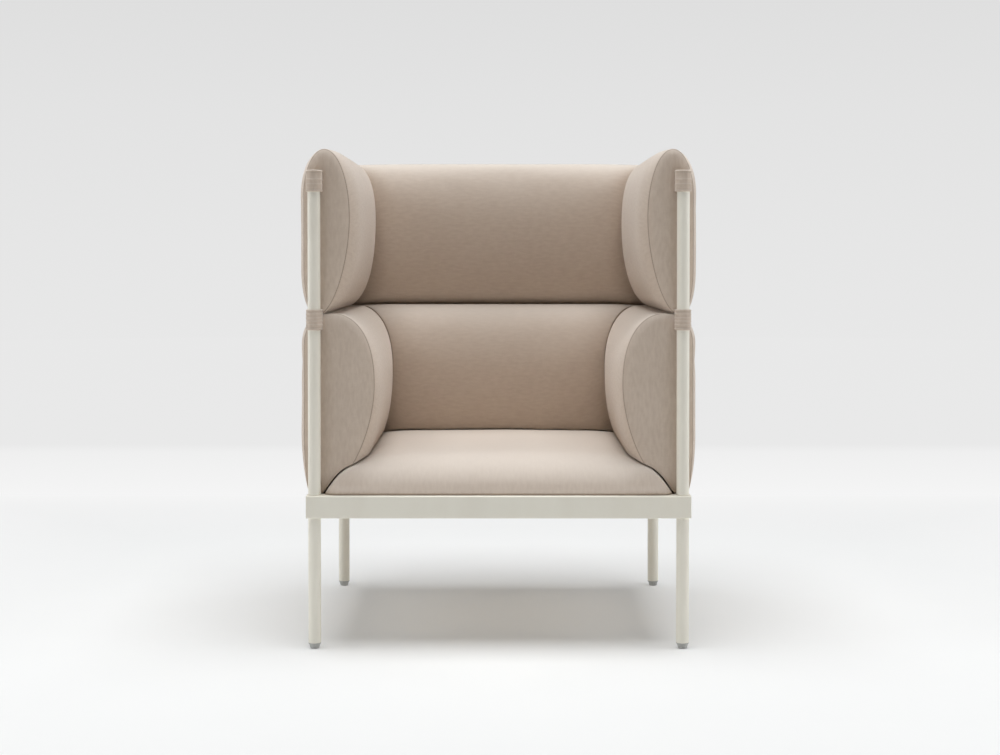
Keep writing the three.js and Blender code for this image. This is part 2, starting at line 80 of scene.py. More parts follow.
def linear(colour: Colour) -> tuple[float, float, float, float]:
    """Turns a screen colour into the linear value that a shader socket takes.

    Args:
        colour: Red, green and blue as they look on a screen, 0 to 1.

    Returns:
        Linear red, green and blue with full alpha.
    """
    toe, slope, offset, gamma = 0.04045, 12.92, 0.055, 2.4
    values = [c / slope if c <= toe else ((c + offset) / (1 + offset)) ** gamma for c in colour]
    return (*values, 1.0)


def softened(share: np.ndarray) -> np.ndarray:
    """Eases a share that runs from 0 to 1 at both of its ends."""
    return share * share * (3 - 2 * share)


def shade_ramp(ramp: bpy.types.Node, stops: Iterable[Point2]) -> None:
    """Fills a colour ramp with greys.

    Args:
        ramp: The ramp's node.
        stops: Position, 0 to 1, and screen grey of each stop, in order.
    """
    elements = ramp.color_ramp.elements
    elements.remove(elements[1])
    for index, (position, grey) in enumerate(stops):
        stop = elements.new(position) if index else elements[0]
        stop.position = position
        stop.color = linear((grey,) * 3)


class Recipe:
    """The node tree of one material, built up socket by socket."""

    # Sockets of a Mix node that carry its share and colours.
    mix_inputs = (0, 6, 7)
    mix_output = 2

    def __init__(self, name: str) -> None:
        """Starts a material that has only its Principled shader."""
        self.material = bpy.data.materials.new(name)
        self.material.use_nodes = True
        self.nodes = self.material.node_tree.nodes
        self.links = self.material.node_tree.links
        self.shader = self.nodes["Principled BSDF"]

    def set(self, node: bpy.types.Node, key: str | int, value: object) -> None:
        """Links a socket to an input of a node, or writes a plain value there."""
        if isinstance(value, Socket):
            self.links.new(value, node.inputs[key])
        else:
            node.inputs[key].default_value = value

    def surface(self, **values: object) -> None:
        """Sets inputs of the Principled shader; spaces in their names are underscores."""
        for key, value in values.items():
            self.set(self.shader, key.replace("_", " "), value)

    def object_place(self) -> Socket:
        """Returns the place on the piece, in metres."""
        return self.nodes.new("ShaderNodeTexCoord").outputs["Object"]

    def weave_place(self) -> Socket:
        """Returns the place on the cloth, in metres along and across its threads."""
        node = self.nodes.new("ShaderNodeUVMap")
        node.uv_map = WEAVE_MAP
        return node.outputs["UV"]

    def axes(self, place: Socket) -> tuple[Socket, ...]:
        """Returns X, Y and Z of a place or a direction."""
        node = self.nodes.new("ShaderNodeSeparateXYZ")
        self.set(node, 0, place)
        return tuple(node.outputs)

    def attribute(self, name: str) -> Socket:
        """Returns a number that each point of the mesh carries."""
        node = self.nodes.new("ShaderNodeAttribute")
        node.attribute_name = name
        return node.outputs["Fac"]

    def stretched(self, place: Socket, scale: Sequence[float]) -> Socket:
        """Returns a place scaled by a factor for each axis."""
        node = self.nodes.new("ShaderNodeMapping")
        self.set(node, "Vector", place)
        self.set(node, "Scale", tuple(scale))
        return node.outputs["Vector"]

    def noise(self, place: Socket, scale: float, detail: float = 2.0) -> Socket:
        """Returns fractal noise from 0 to 1, with its features per metre and its finer octaves."""
        node = self.nodes.new("ShaderNodeTexNoise")
        self.set(node, "Vector", place)
        self.set(node, "Scale", scale)
        self.set(node, "Detail", detail)
        return node.outputs["Fac"]

    def math(self, operation: str, first: object, second: object = 0.0) -> Socket:
        """Returns the result of one sum on two numbers or sockets."""
        node = self.nodes.new("ShaderNodeMath")
        node.operation = operation
        self.set(node, 0, first)
        self.set(node, 1, second)
        return node.outputs[0]

    def spread(self, value: Socket, low: float, high: float,
               start: float = 0.0, end: float = 1.0) -> Socket:
        """Maps a range of values to another, held at its ends.

        Args:
            value: The number to map.
            low: Input that gives start.
            high: Input that gives end.
            start: Output at low.
            end: Output at high.

        Returns:
            The mapped number.
        """
        node = self.nodes.new("ShaderNodeMapRange")
        for key, number in zip(("From Min", "From Max", "To Min", "To Max"), (low, high, start, end)):
            self.set(node, key, number)
        self.set(node, "Value", value)
        return node.outputs["Result"]

    def blend(self, share: Socket, first: object, second: object) -> Socket:
        """Returns a mix of two colours, by how much of the second one shows."""
        node = self.nodes.new("ShaderNodeMix")
        node.data_type = "RGBA"
        for key, value in zip(self.mix_inputs, (share, first, second)):
            self.set(node, key, value)
        return node.outputs[self.mix_output]

    def relief(self, height: Socket, depth: float, strength: float,
               under: Socket | None = None) -> Socket:
        """Tilts the surface by a height map.

        Args:
            height: The height, 0 to 1.
            depth: What a height of 1 stands for, in metres.
            strength: How much of the tilt is used.
            under: Relief that this one lies on.

        Returns:
            The tilted normal.
        """
        node = self.nodes.new("ShaderNodeBump")
        self.set(node, "Height", height)
        self.set(node, "Distance", depth)
        self.set(node, "Strength", strength)
        if under is not None:
            self.set(node, "Normal", under)
        return node.outputs["Normal"]

    def waves(self, value: Socket, pitch: float) -> Socket:
        """Returns a sine that repeats once in a pitch, in metres."""
        return self.math("SINE", self.math("MULTIPLY", value, math.tau / pitch))


@dataclass(frozen=True)
class WoolWeave:
    """Fine wool cloth: plain weave of melange yarn, with painted shade in its seams and painted light that
    makes it paler where it faces up.
    """

    name: str = "wool_weave"
    colour: Colour = (0.824, 0.760, 0.699)
    fleck: Colour = (0.788, 0.719, 0.656)
    # Painted shade of the seams: the cloth darkens towards this colour in and beside their grooves.
    seam: Colour = (0.560, 0.480, 0.410)
    bloom: Colour = (0.97, 0.95, 0.93)
    # Painted light: the cloth is blended towards this paler colour the more it faces up.
    pale: Colour = (0.888, 0.860, 0.828)
    painted_top_light_share: float = 0.75
    thread_pitch: float = 0.0014
    stitch_pitch: float = 0.0045
    slub_scale: float = 700.0
    slub_stretch: float = 0.06
    slub_span: Point2 = (0.36, 0.64)
    slub_share: float = 0.45
    mottle_scale: float = 14.0
    mottle_share: float = 0.25
    streak_scale: float = 150.0
    streak_stretch: float = 0.3
    streak_shares: Point2 = (-0.35, 0.65)
    stitch_shares: Point2 = (0.80, 1.0)
    roughness: Point2 = (0.86, 0.98)
    weave_depth: float = 0.00035
    weave_strength: float = 0.45
    pucker_depth: float = 0.0005
    pucker_strength: float = 0.5

    def material(self) -> bpy.types.Material:
        """Builds the cloth's material on its weave map."""
        recipe = Recipe(self.name)
        place = recipe.weave_place()
        along, across, _ = recipe.axes(place)
        warp = recipe.waves(along, self.thread_pitch)
        weft = recipe.waves(across, self.thread_pitch)
        threads = recipe.spread(recipe.math("MULTIPLY", warp, weft), -1, 1)
        slubs = self.slubs(recipe, place)
        cloth = self.yarn(recipe, place, slubs)
        # Painted shade along the seams, broken by the stitches: the seam layer darkens the cloth towards the
        # seam colour.
        seam = recipe.attribute(SEAM_LAYER)
        stitches = recipe.waves(recipe.attribute(ALONG_LAYER), self.stitch_pitch)
        drawn = recipe.math("MULTIPLY", seam, recipe.spread(stitches, -1, 1, *self.stitch_shares))
        weave = recipe.relief(recipe.math("ADD", threads, slubs), self.weave_depth, self.weave_strength)
        pucker = recipe.math("MULTIPLY", seam, recipe.spread(stitches, -1, 1))
        recipe.surface(
            Base_Color=recipe.blend(drawn, cloth, linear(self.seam)),
            Normal=recipe.relief(pucker, self.pucker_depth, self.pucker_strength, weave),
            Roughness=recipe.spread(slubs, *NOISE_SPAN, *self.roughness))
        recipe.surface(Sheen_Weight=0.5, Sheen_Roughness=0.5, Sheen_Tint=linear(self.bloom))
        recipe.surface(Specular_IOR_Level=0.2)
        return recipe.material

    def slubs(self, recipe: Recipe, place: Socket) -> Socket:
        """Returns the thick places of the yarn that run along and across the cloth."""
        runs = ((1, self.slub_stretch, 1), (self.slub_stretch, 1, 1))
        first, second = (recipe.noise(recipe.stretched(place, run), self.slub_scale, 3) for run in runs)
        return recipe.math("MULTIPLY", recipe.math("ADD", first, second), 0.5)

    def yarn(self, recipe: Recipe, place: Socket, slubs: Socket) -> Socket:
        """Colours the yarn: flecked by slubs, mottle and streaks, with painted light that makes it paler
        where the cloth faces up.

        Args:
            recipe: The cloth's recipe.
            place: Place on the weave map.
            slubs: The thick places of the yarn.

        Returns:
            The colour of the cloth away from its seams.
        """
        mottle = recipe.noise(recipe.object_place(), self.mottle_scale, 4)
        streaks = recipe.noise(recipe.stretched(place, (1, self.streak_stretch, 1)), self.streak_scale, 3)
        flecks = recipe.math(
            "ADD", recipe.spread(slubs, *self.slub_span, 0.0, self.slub_share),
            recipe.spread(mottle, *NOISE_SPAN, 0.0, self.mottle_share))
        flecks = recipe.math("ADD", flecks, recipe.spread(streaks, *NOISE_SPAN, *self.streak_shares))
        cloth = recipe.blend(flecks, linear(self.colour), linear(self.fleck))
        # Painted light: the more the surface faces up in the world, the more of the paler colour is mixed in.
        _, _, upward = recipe.axes(recipe.nodes.new("ShaderNodeNewGeometry").outputs["Normal"])
        return recipe.blend(recipe.spread(upward, 0.0, 1.0, 0.0, self.painted_top_light_share), cloth, linear(self.pale))


@dataclass(frozen=True)
class PowderCoat:
    """Cream powder coat: satin, with a very fine orange peel and faint handling marks."""

    name: str = "powder_coat"
    colour: Colour = (0.940, 0.925, 0.875)
    worn: Colour = (0.922, 0.902, 0.850)
    peel_scale: float = 620.0
    peel_depth: float = 0.00006
    peel_strength: float = 0.35
    mark_scale: float = 11.0
    mark_span: Point2 = (0.42, 0.72)
    roughness: Point2 = (0.36, 0.48)

    def material(self) -> bpy.types.Material:
        """Builds the coat's material on object coordinates."""
        recipe = Recipe(self.name)
        place = recipe.object_place()
        peel = recipe.noise(place, self.peel_scale, 2)
        marks = recipe.noise(recipe.stretched(place, (1, 1, 0.35)), self.mark_scale, 5)
        recipe.surface(
            Base_Color=recipe.blend(
                recipe.spread(marks, *self.mark_span), linear(self.colour), linear(self.worn)),
            Roughness=recipe.spread(marks, *NOISE_SPAN, *self.roughness),
            Normal=recipe.relief(peel, self.peel_depth, self.peel_strength))
        recipe.surface(Specular_IOR_Level=0.5)
        return recipe.material


@dataclass(frozen=True)
class MouldedPlastic:
    """Injection moulded plastic with a spark-eroded grain and slight scuffing."""

    name: str
    colour: Colour
    scuff: Colour
    roughness: Point2
    grain_scale: float = 2400.0
    grain_depth: float = 0.00003
    scuff_scale: float = 160.0
    scuff_span: Point2 = (0.52, 0.75)

    def material(self) -> bpy.types.Material:
        """Builds the plastic's material on object coordinates."""
        recipe = Recipe(self.name)
        place = recipe.object_place()
        grain = recipe.noise(place, self.grain_scale, 2)
        scuffs = recipe.noise(recipe.stretched(place, (1, 1, 3)), self.scuff_scale, 4)
        recipe.surface(
            Base_Color=recipe.blend(
                recipe.spread(scuffs, *self.scuff_span), linear(self.colour), linear(self.scuff)),
            Roughness=recipe.spread(scuffs, *NOISE_SPAN, *self.roughness),
            Normal=recipe.relief(grain, self.grain_depth, 0.4))
        return recipe.material


@dataclass(frozen=True)
class ZincPlate:
    """Bright zinc plate: fine turning lines under a slightly clouded metal."""

    name: str = "zinc_plate"
    colour: Colour = (0.80, 0.81, 0.82)
    cloud: Colour = (0.66, 0.67, 0.70)
    line_scale: float = 420.0
    line_depth: float = 0.00002
    cloud_scale: float = 90.0
    cloud_span: Point2 = (0.35, 0.7)
    roughness: Point2 = (0.26, 0.42)

    def material(self) -> bpy.types.Material:
        """Builds the plate's material on object coordinates."""
        recipe = Recipe(self.name)
        place = recipe.object_place()
        lines = recipe.noise(recipe.stretched(place, (0.2, 0.2, 8)), self.line_scale, 2)
        clouds = recipe.noise(place, self.cloud_scale, 3)
        recipe.surface(
            Base_Color=recipe.blend(
                recipe.spread(clouds, *self.cloud_span), linear(self.colour), linear(self.cloud)),
            Roughness=recipe.spread(clouds, *NOISE_SPAN, *self.roughness),
            Normal=recipe.relief(lines, self.line_depth, 0.4))
        recipe.surface(Metallic=1.0)
        return recipe.material


@dataclass(frozen=True)
class BirchPly:
    """Unfinished birch plywood: long soft grain and the layers of its edge."""

    name: str = "birch_ply"
    colour: Colour = (0.870, 0.800, 0.690)
    grain: Colour = (0.780, 0.690, 0.560)
    grain_scale: float = 9.0
    grain_span: Point2 = (0.35, 0.7)
    grain_share: float = 0.7
    grain_depth: float = 0.0002
    pore_scale: float = 60.0
    layer_pitch: float = 0.0028
    layer_share: float = 0.35
    roughness: Point2 = (0.62, 0.78)

    def material(self) -> bpy.types.Material:
        """Builds the wood's material on object coordinates."""
        recipe = Recipe(self.name)
        place = recipe.object_place()
        grain = recipe.noise(recipe.stretched(place, (1, 14, 14)), self.grain_scale, 6)
        pores = recipe.noise(recipe.stretched(place, (1, 30, 30)), self.pore_scale, 3)
        _, _, height = recipe.axes(place)
        layers = recipe.spread(recipe.waves(height, self.layer_pitch), -1, 1, 0.0, self.layer_share)
        share = recipe.math("ADD", recipe.spread(grain, *self.grain_span, 0.0, self.grain_share), layers)
        recipe.surface(
            Base_Color=recipe.blend(share, linear(self.colour), linear(self.grain)),
            Roughness=recipe.spread(grain, *NOISE_SPAN, *self.roughness),
            Normal=recipe.relief(recipe.math("ADD", grain, pores), self.grain_depth, 0.35))
        return recipe.material


class Finish(Enum):
    """The finishes of the chair, with the record's slot that each belongs to."""

    COAT = "powder_coat"
    CLOTH = "upholstery"
    GLIDE = "glide_plastic"
    CAP = "cap_plastic"
    ZINC = "zinc_steel"
    PLY = "plywood"


class Finishes:
    """One shared material for each finish."""

    def __init__(self) -> None:
        """Builds the materials once."""
        glide = MouldedPlastic("glide_plastic", (0.72, 0.72, 0.71), (0.78, 0.78, 0.77), (0.38, 0.56))
        cap = MouldedPlastic("cap_plastic", (0.85, 0.82, 0.78), (0.80, 0.77, 0.73), (0.42, 0.6))
        self.materials = {
            Finish.COAT: PowderCoat().material(),
            Finish.CLOTH: WoolWeave().material(),
            Finish.GLIDE: glide.material(),
            Finish.CAP: cap.material(),
            Finish.ZINC: ZincPlate().material(),
            Finish.PLY: BirchPly().material(),
        }

    def dress(self, piece: bpy.types.Object, finish: Finish) -> None:
        """Gives a piece one material and nothing else."""
        piece.data.materials.clear()
        piece.data.materials.append(self.materials[finish])


class Workshop:
    """Turns finished bmeshes into pieces that ride on their bodies."""

    sharp_angle = math.radians(38)

    def __init__(self, finishes: Finishes) -> None:
        """Keeps the shared finishes."""
        self.finishes = finishes

    def piece(self, mesh: BMesh, name: str) -> bpy.types.Object:
        """Makes a smooth shaded object at the origin from a bmesh and frees the bmesh."""
        data = bpy.data.meshes.new(name)
        mesh.to_mesh(data)
        mesh.free()
        data.shade_smooth()
        made = bpy.data.objects.new(name, data)
        bpy.context.scene.collection.objects.link(made)
        return made

    def hand_over(self, piece: bpy.types.Object, finish: Finish, body: str, nodes: Iterable[str]) -> None:
        """Dresses a piece, seats it on its body and hides the nodes that it stands for.

        Args:
            piece: The finished piece.
            finish: Its finish.
            body: The body that it rides on.
            nodes: The nodes that it replaces.
        """
        self.finishes.dress(piece, finish)
        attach(piece, body)
        if nodes:
            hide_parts(*nodes)
        log.info("%s: %d faces, %s", piece.name, len(piece.data.polygons), finish.value)

    def rigid(self, mesh: BMesh, name: str, finish: Finish, body: str, *nodes: str) -> bpy.types.Object:
        """Makes a rigid piece with crisp edges where its faces turn sharply.

        Args:
            mesh: The shape, in the chair's frame.
            name: Name of the piece.
            finish: Its finish.
            body: The body that it rides on.
            nodes: The nodes that it replaces.

        Returns:
            The finished piece.
        """
        made = self.piece(mesh, name)
        made.data.set_sharp_from_angle(angle=self.sharp_angle)
        self.hand_over(made, finish, body, nodes)
        return made


def spun(profile: Sequence[Point2], segments: int) -> BMesh:
    """Spins a profile once round the Z axis.

    Args:
        profile: Radius and height of each point. It starts and ends on the axis, or closes on itself.
        segments: Number of sides.

    Returns:
        The closed shape, with its faces pointing out.
    """
    mesh = bmesh.new()
    points = [mesh.verts.new((radius, 0.0, height)) for radius, height in profile]
    edges = [mesh.edges.new(pair) for pair in zip(points, points[1:])]
    if profile[0][0] > 0:
        edges.append(mesh.edges.new((points[-1], points[0])))
    bmesh.ops.spin(
        mesh, geom=points + edges, cent=(0, 0, 0), axis=(0, 0, 1), dvec=(0, 0, 0),
        angle=math.tau, steps=segments, use_merge=True)
    bmesh.ops.remove_doubles(mesh, verts=mesh.verts, dist=1e-6)
    bmesh.ops.recalc_face_normals(mesh, faces=mesh.faces)
    return mesh


def eased(mesh: BMesh, radius: float, segments: int = 3, least_turn: float = 50) -> None:
    """Rounds every edge of a shape that turns more than an angle.

    Args:
        mesh: The shape.
        radius: Radius of the rounding.
        segments: Faces across the rounding.
        least_turn: Smallest turn that is rounded, in degrees.
    """
    sharp = [e for e in mesh.edges if e.is_manifold and e.calc_face_angle() > math.radians(least_turn)]
    bmesh.ops.bevel(
        mesh, geom=sharp, offset=radius, offset_type="OFFSET", affect="EDGES",
        segments=segments, profile=0.5, material=-1, clamp_overlap=True)


def block(low: Vector, high: Vector) -> BMesh:
    """Returns a box between two corners."""
    mesh = bmesh.new()
    bmesh.ops.create_cube(mesh, size=1.0)
    bmesh.ops.scale(mesh, vec=high - low, verts=mesh.verts)
    bmesh.ops.translate(mesh, vec=(low + high) / 2, verts=mesh.verts)
    return mesh


def gathered(parts: Sequence[BMesh]) -> BMesh:
    """Puts several shapes into one bmesh and frees them."""
    whole = bmesh.new()
    for part in parts:
        data = bpy.data.meshes.new("part")
        part.to_mesh(data)
        part.free()
        whole.from_mesh(data)
        bpy.data.meshes.remove(data)
    return whole


def rolled(points: np.ndarray, weave: np.ndarray) -> BMesh:
    """Rolls a grid of square faces into a tube that is open at both ends.

    Args:
        points: Places as an array of stations, steps round the tube and X, Y, Z.
        weave: Weave map as an array of stations, steps plus one and two numbers.

    Returns:
        The tube. Its verts carry their station and their step.
    """
    stations, around = points.shape[:2]
    mesh = bmesh.new()
    step = mesh.verts.layers.int.new(STEP_LAYER)
    station_of = mesh.verts.layers.int.new(STATION_LAYER)
    uv = mesh.loops.layers.uv.new(WEAVE_MAP)
    bmesh.ops.create_grid(mesh, x_segments=around, y_segments=stations - 1, size=0.5)
    mesh.verts.ensure_lookup_table()
    places, threads = points.tolist(), weave.tolist()
    for index, vert in enumerate(mesh.verts):
        station, column = divmod(index, around + 1)
        vert.co = places[station][column % around]
        vert[step] = column % around
        vert[station_of] = station
    for face in mesh.faces:
        for loop in face.loops:
            station, column = divmod(loop.vert.index, around + 1)
            loop[uv].uv = threads[station][column]
    ends = [v for v in mesh.verts if v[step] == 0]
    bmesh.ops.remove_doubles(mesh, verts=ends, dist=1e-7)
    mesh.verts.ensure_lookup_table()
    return mesh


def ring(mesh: BMesh, station: int) -> list[BMVert]:
    """Returns the verts of one station of a rolled tube, in order."""
    step = mesh.verts.layers.int[STEP_LAYER]
    station_of = mesh.verts.layers.int[STATION_LAYER]
    return sorted((v for v in mesh.verts if v[station_of] == station), key=lambda v: v[step])


def ring_edges(mesh: BMesh, verts: Sequence[BMVert]) -> list[bmesh.types.BMEdge]:
    """Returns the edges that join the verts of a ring, in order."""
    return [mesh.edges.get((a, b)) for a, b in zip(verts, [*verts[1:], verts[0]])]


def drawn_ring(mesh: BMesh, verts: Sequence[BMVert],
               places: np.ndarray) -> list[BMVert]:
    """Extrudes a ring of edges and moves the new ring to its places.

    Args:
        mesh: The shape.
        verts: The ring at the open end, in order.
        places: Where each new vert goes.

    Returns:
        The new ring, in the same order.
    """
    step = mesh.verts.layers.int[STEP_LAYER]
    made = bmesh.ops.extrude_edge_only(mesh, edges=ring_edges(mesh, verts))
    fresh = sorted((g for g in made["geom"] if isinstance(g, BMVert)), key=lambda v: v[step])
    for vert, place in zip(fresh, places.tolist()):
        vert.co = place
    return fresh


def filled_ring(mesh: BMesh, verts: Sequence[BMVert],
                start: int, across: int) -> list[bmesh.types.BMFace]:
    """Fills a ring with a grid of square faces.

    Args:
        mesh: The shape.
        verts: The open ring, in order.
        start: Step at which the first short side of the grid starts.
        across: Number of faces along the short side.

    Returns:
        The new faces.
    """
    count = len(verts)
    edges = ring_edges(mesh, verts)
    near = [edges[(start + i) % count] for i in range(across)]
    far = [edges[(start + count // 2 + i) % count] for i in range(across)]
    return bmesh.ops.grid_fill(mesh, edges=near + far, mat_nr=0, use_smooth=True)["faces"]


class Wall(Enum):
    """The three sides of the chair that its cushions line."""

    LEFT = "left"
    RIGHT = "right"
    BACK = "back"


class Corner(Enum):
    """The four corners of the frame, as a side and a depth sign."""

    FRONT_LEFT = (-1, -1)
    FRONT_RIGHT = (1, -1)
    REAR_LEFT = (-1, 1)
    REAR_RIGHT = (1, 1)

    @property
    def label(self) -> str:
        """The corner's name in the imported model."""
        return self.name.lower()


@dataclass
class Plan:
    """Places that all pieces share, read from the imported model."""

    cushion_out: float = 0.024
    cap_clearance: float = 0.001
    post_x: float = field(init=False)
    front_y: float = field(init=False)
    rear_y: float = field(init=False)
    tube: float = field(init=False)
    rail_top: float = field(init=False)
    junction: float = field(init=False)

    def __post_init__(self) -> None:
        """Reads the legs, a rail and a cushion."""
        low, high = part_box("leg_front_right")
        self.tube = (high.x - low.x) / 2
        self.post_x = (low.x + high.x) / 2
        self.front_y = (low.y + high.y) / 2
        low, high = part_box("leg_rear_right")
        self.rear_y = (low.y + high.y) / 2
        self.rail_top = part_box("front_rail")[1].z
        self.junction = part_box("left_wing_cushion")[0].z - GAP

    @property
    def post_room(self) -> float:
        """Distance from a post's centre to the flat end of a cushion."""
        return self.tube + self.cap_clearance

    def corner(self, corner: Corner) -> Vector:
        """Returns the foot of a post's centre line."""
        side, depth = corner.value
        return Vector((side * self.post_x, self.front_y if depth < 0 else self.rear_y, 0.0))

    def run_range(self, wall: Wall) -> Point2:
        """Returns where the posts stand at the two ends of a wall."""
        if wall is Wall.BACK:
            return -self.post_x, self.post_x
        return self.front_y, self.rear_y

    def place(self, wall: Wall, run: np.ndarray, depth: np.ndarray, height: np.ndarray) -> np.ndarray:
        """Turns a run along a wall, an inward depth and a height into places.

        Args:
            wall: The wall.
            run: Along the wall.
            depth: Inwards from the wall's outer seam.
            height: Above the floor.

        Returns:
            X, Y and Z in the last axis.
        """
        outer_x = self.post_x + self.cushion_out
        if wall is Wall.LEFT:
            return np.stack([depth - outer_x, run, height], axis=-1)
        if wall is Wall.RIGHT:
            return np.stack([outer_x - depth, run, height], axis=-1)
        return np.stack([run, self.rear_y + self.cushion_out - depth, height], axis=-1)

    def locate(self, wall: Wall, places: np.ndarray) -> tuple[np.ndarray, np.ndarray, np.ndarray]:
        """Turns places back into run, depth and height."""
        x, y, z = places[..., 0], places[..., 1], places[..., 2]
        outer_x = self.post_x + self.cushion_out
        if wall is Wall.LEFT:
            return y, x + outer_x, z
        if wall is Wall.RIGHT:
            return y, outer_x - x, z
        return x, self.rear_y + self.cushion_out - y, z

    def end_of_run(self, wall: Wall, depth: np.ndarray, at_start: bool) -> np.ndarray:
        """Returns where a cushion ends at a depth: square at a post, mitred further in.

        Args:
            wall: The wall.
            depth: Inward depth of each point.
            at_start: Whether the end is the one at the low end of the run.

        Returns:
            The run at that end.
        """
        low, high = self.run_range(wall)
        if at_start and wall is not Wall.BACK:
            return np.full_like(depth, low + self.post_room)
        post = -low if at_start else high
        end = np.minimum(post - self.post_room, post + self.cushion_out - depth - GAP / math.sqrt(2))
        return -end if at_start else end


class SteelFrame:
    """Welded seat frame with its four posts and legs."""

    rail_radius = 0.0035
    rail_end_radius = 0.0012
    tube_wall = 0.002
    tube_sides = 64
    tube_lip = 0.0006
    tab_thickness = 0.003
    tab_height = 0.020
    tab_margin = 0.014
    tab_reach = 0.034
    bead_radius = 0.0022
    bead_pitch = 0.0028
    bead_tuck = 0.0008
    bead_margin = 0.006
    # Smallest part of a direction along an axis for an edge or face to count as lying along it.
    aligned = 0.9
    flat = 0.9999

    def __init__(self, plan: Plan, workshop: Workshop) -> None:
        """Keeps the plan and the workshop."""
        self.plan = plan
        self.workshop = workshop

    def build(self) -> None:
        """Builds the rails, posts, legs, weld beads and bracket screws."""
        for rail in ("front_rail", "rear_rail", "left_side_rail", "right_side_rail"):
            self.workshop.rigid(self.rail(rail), f"{rail}_tube", Finish.COAT, "chair", rail)
        for corner in Corner:
            name = corner.label
            self.workshop.rigid(self.post(corner), f"upright_{name}", Finish.COAT, "chair", f"post_{name}")
            self.workshop.rigid(self.leg(corner), f"leg_tube_{name}", Finish.COAT, "chair", f"leg_{name}")
            self.workshop.rigid(self.weld(corner), f"weld_{name}", Finish.COAT, "chair")
            self.workshop.rigid(self.screw(corner), f"bracket_screw_{name}", Finish.ZINC, "chair")

    def rail(self, node: str) -> BMesh:
        """Models one rail: a rectangular tube with rolled long edges and dressed ends."""
        low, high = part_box(node)
        mesh = block(low, high)
        axis = max(range(3), key=lambda i: high[i] - low[i])
        long_edges = [
            e for e in mesh.edges
            if abs((e.verts[1].co - e.verts[0].co).normalized()[axis]) > self.aligned]
        bmesh.ops.bevel(
            mesh, geom=long_edges, offset=self.rail_radius, affect="EDGES",
            segments=6, profile=0.5, material=-1)
        ends = [f for f in mesh.faces if abs(f.normal[axis]) > self.aligned]
        rims = list({e for f in ends for e in f.edges})
        bmesh.ops.bevel(
            mesh, geom=rims, offset=self.rail_end_radius, affect="EDGES",
            segments=3, profile=0.5, material=-1)
        flats = [f for f in mesh.faces if max(abs(c) for c in f.normal) > self.flat]
        bmesh.ops.inset_individual(mesh, faces=flats, thickness=self.rail_end_radius / 2)
        return mesh

    def tube_profile(self, low: float, high: float) -> list[Point2]:
        """Returns the section of a round tube's wall, with eased rims."""
        inner, outer, lip = self.plan.tube - self.tube_wall, self.plan.tube, self.tube_lip
        return [
            (inner, low + lip), (inner + lip, low), (outer - lip, low), (outer, low + lip),
            (outer, low + 2 * lip), (outer, high - 2 * lip), (outer, high - lip), (outer - lip, high),
            (inner + lip, high), (inner, high - lip)]

    def tube_at(self, corner: Corner, low: float, high: float) -> BMesh:
        """Returns an upright tube at a corner, between two heights."""
        mesh = spun(self.tube_profile(low, high), self.tube_sides)
        bmesh.ops.translate(mesh, vec=self.plan.corner(corner), verts=mesh.verts)
        return mesh

    def post(self, corner: Corner) -> BMesh:
        """Models a post with the welded tabs that hold its panel boards."""
        low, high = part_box(f"post_{corner.label}")
        parts = [self.tube_at(corner, low.z, high.z)]
        for wall in self.walls_at(corner):
            for board in self.boards_on(wall):
                parts.extend(self.tabs(corner, wall, board))
        return gathered(parts)

    def walls_at(self, corner: Corner) -> list[Wall]:
        """Returns the walls whose cushions end at a corner."""
        side, depth = corner.value
        walls = [Wall.LEFT if side < 0 else Wall.RIGHT]
        return walls + ([Wall.BACK] if depth > 0 else [])

    def boards_on(self, wall: Wall) -> tuple[str, str]:
        """Returns the two boards of a wall, lower one first."""
        if wall is Wall.BACK:
            return "lower_back_board", "upper_back_board"
        return f"{wall.value}_arm_board", f"{wall.value}_wing_board"

    def tabs(self, corner: Corner, wall: Wall, board: str) -> list[BMesh]:
        """Models the two tabs that hold one end of a board.

        Args:
            corner: The post's corner.
            wall: The wall of the board.
            board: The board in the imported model.

        Returns:
            The two shapes.
        """
        low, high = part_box(board)
        centre = self.plan.corner(corner)
        along = Vector((-corner.value[0], 0, 0)) if wall is Wall.BACK else Vector((0, -corner.value[1], 0))
        across = Vector((abs(along.y), abs(along.x), 0))
        root = centre + along * (self.plan.tube - self.tube_wall / 2)
        tip = centre + along * (self.plan.post_room + self.tab_reach)
        half = across * self.tab_thickness / 2 + Vector((0, 0, self.tab_height / 2))
        inset = self.tab_margin + self.tab_height / 2
        shapes = []
        for middle in (low.z + inset, high.z - inset):
            ends = [root + Vector((0, 0, middle)), tip + Vector((0, 0, middle))]
            corners = [e + s * half for e in ends for s in (-1, 1)]
            mesh = block(
                Vector(min(c[i] for c in corners) for i in range(3)),
                Vector(max(c[i] for c in corners) for i in range(3)))
            eased(mesh, self.tube_lip, 2)
            shapes.append(mesh)
        return shapes

    def leg(self, corner: Corner) -> BMesh:
        """Models a leg tube."""
        low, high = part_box(f"leg_{corner.label}")
        return self.tube_at(corner, low.z, high.z)

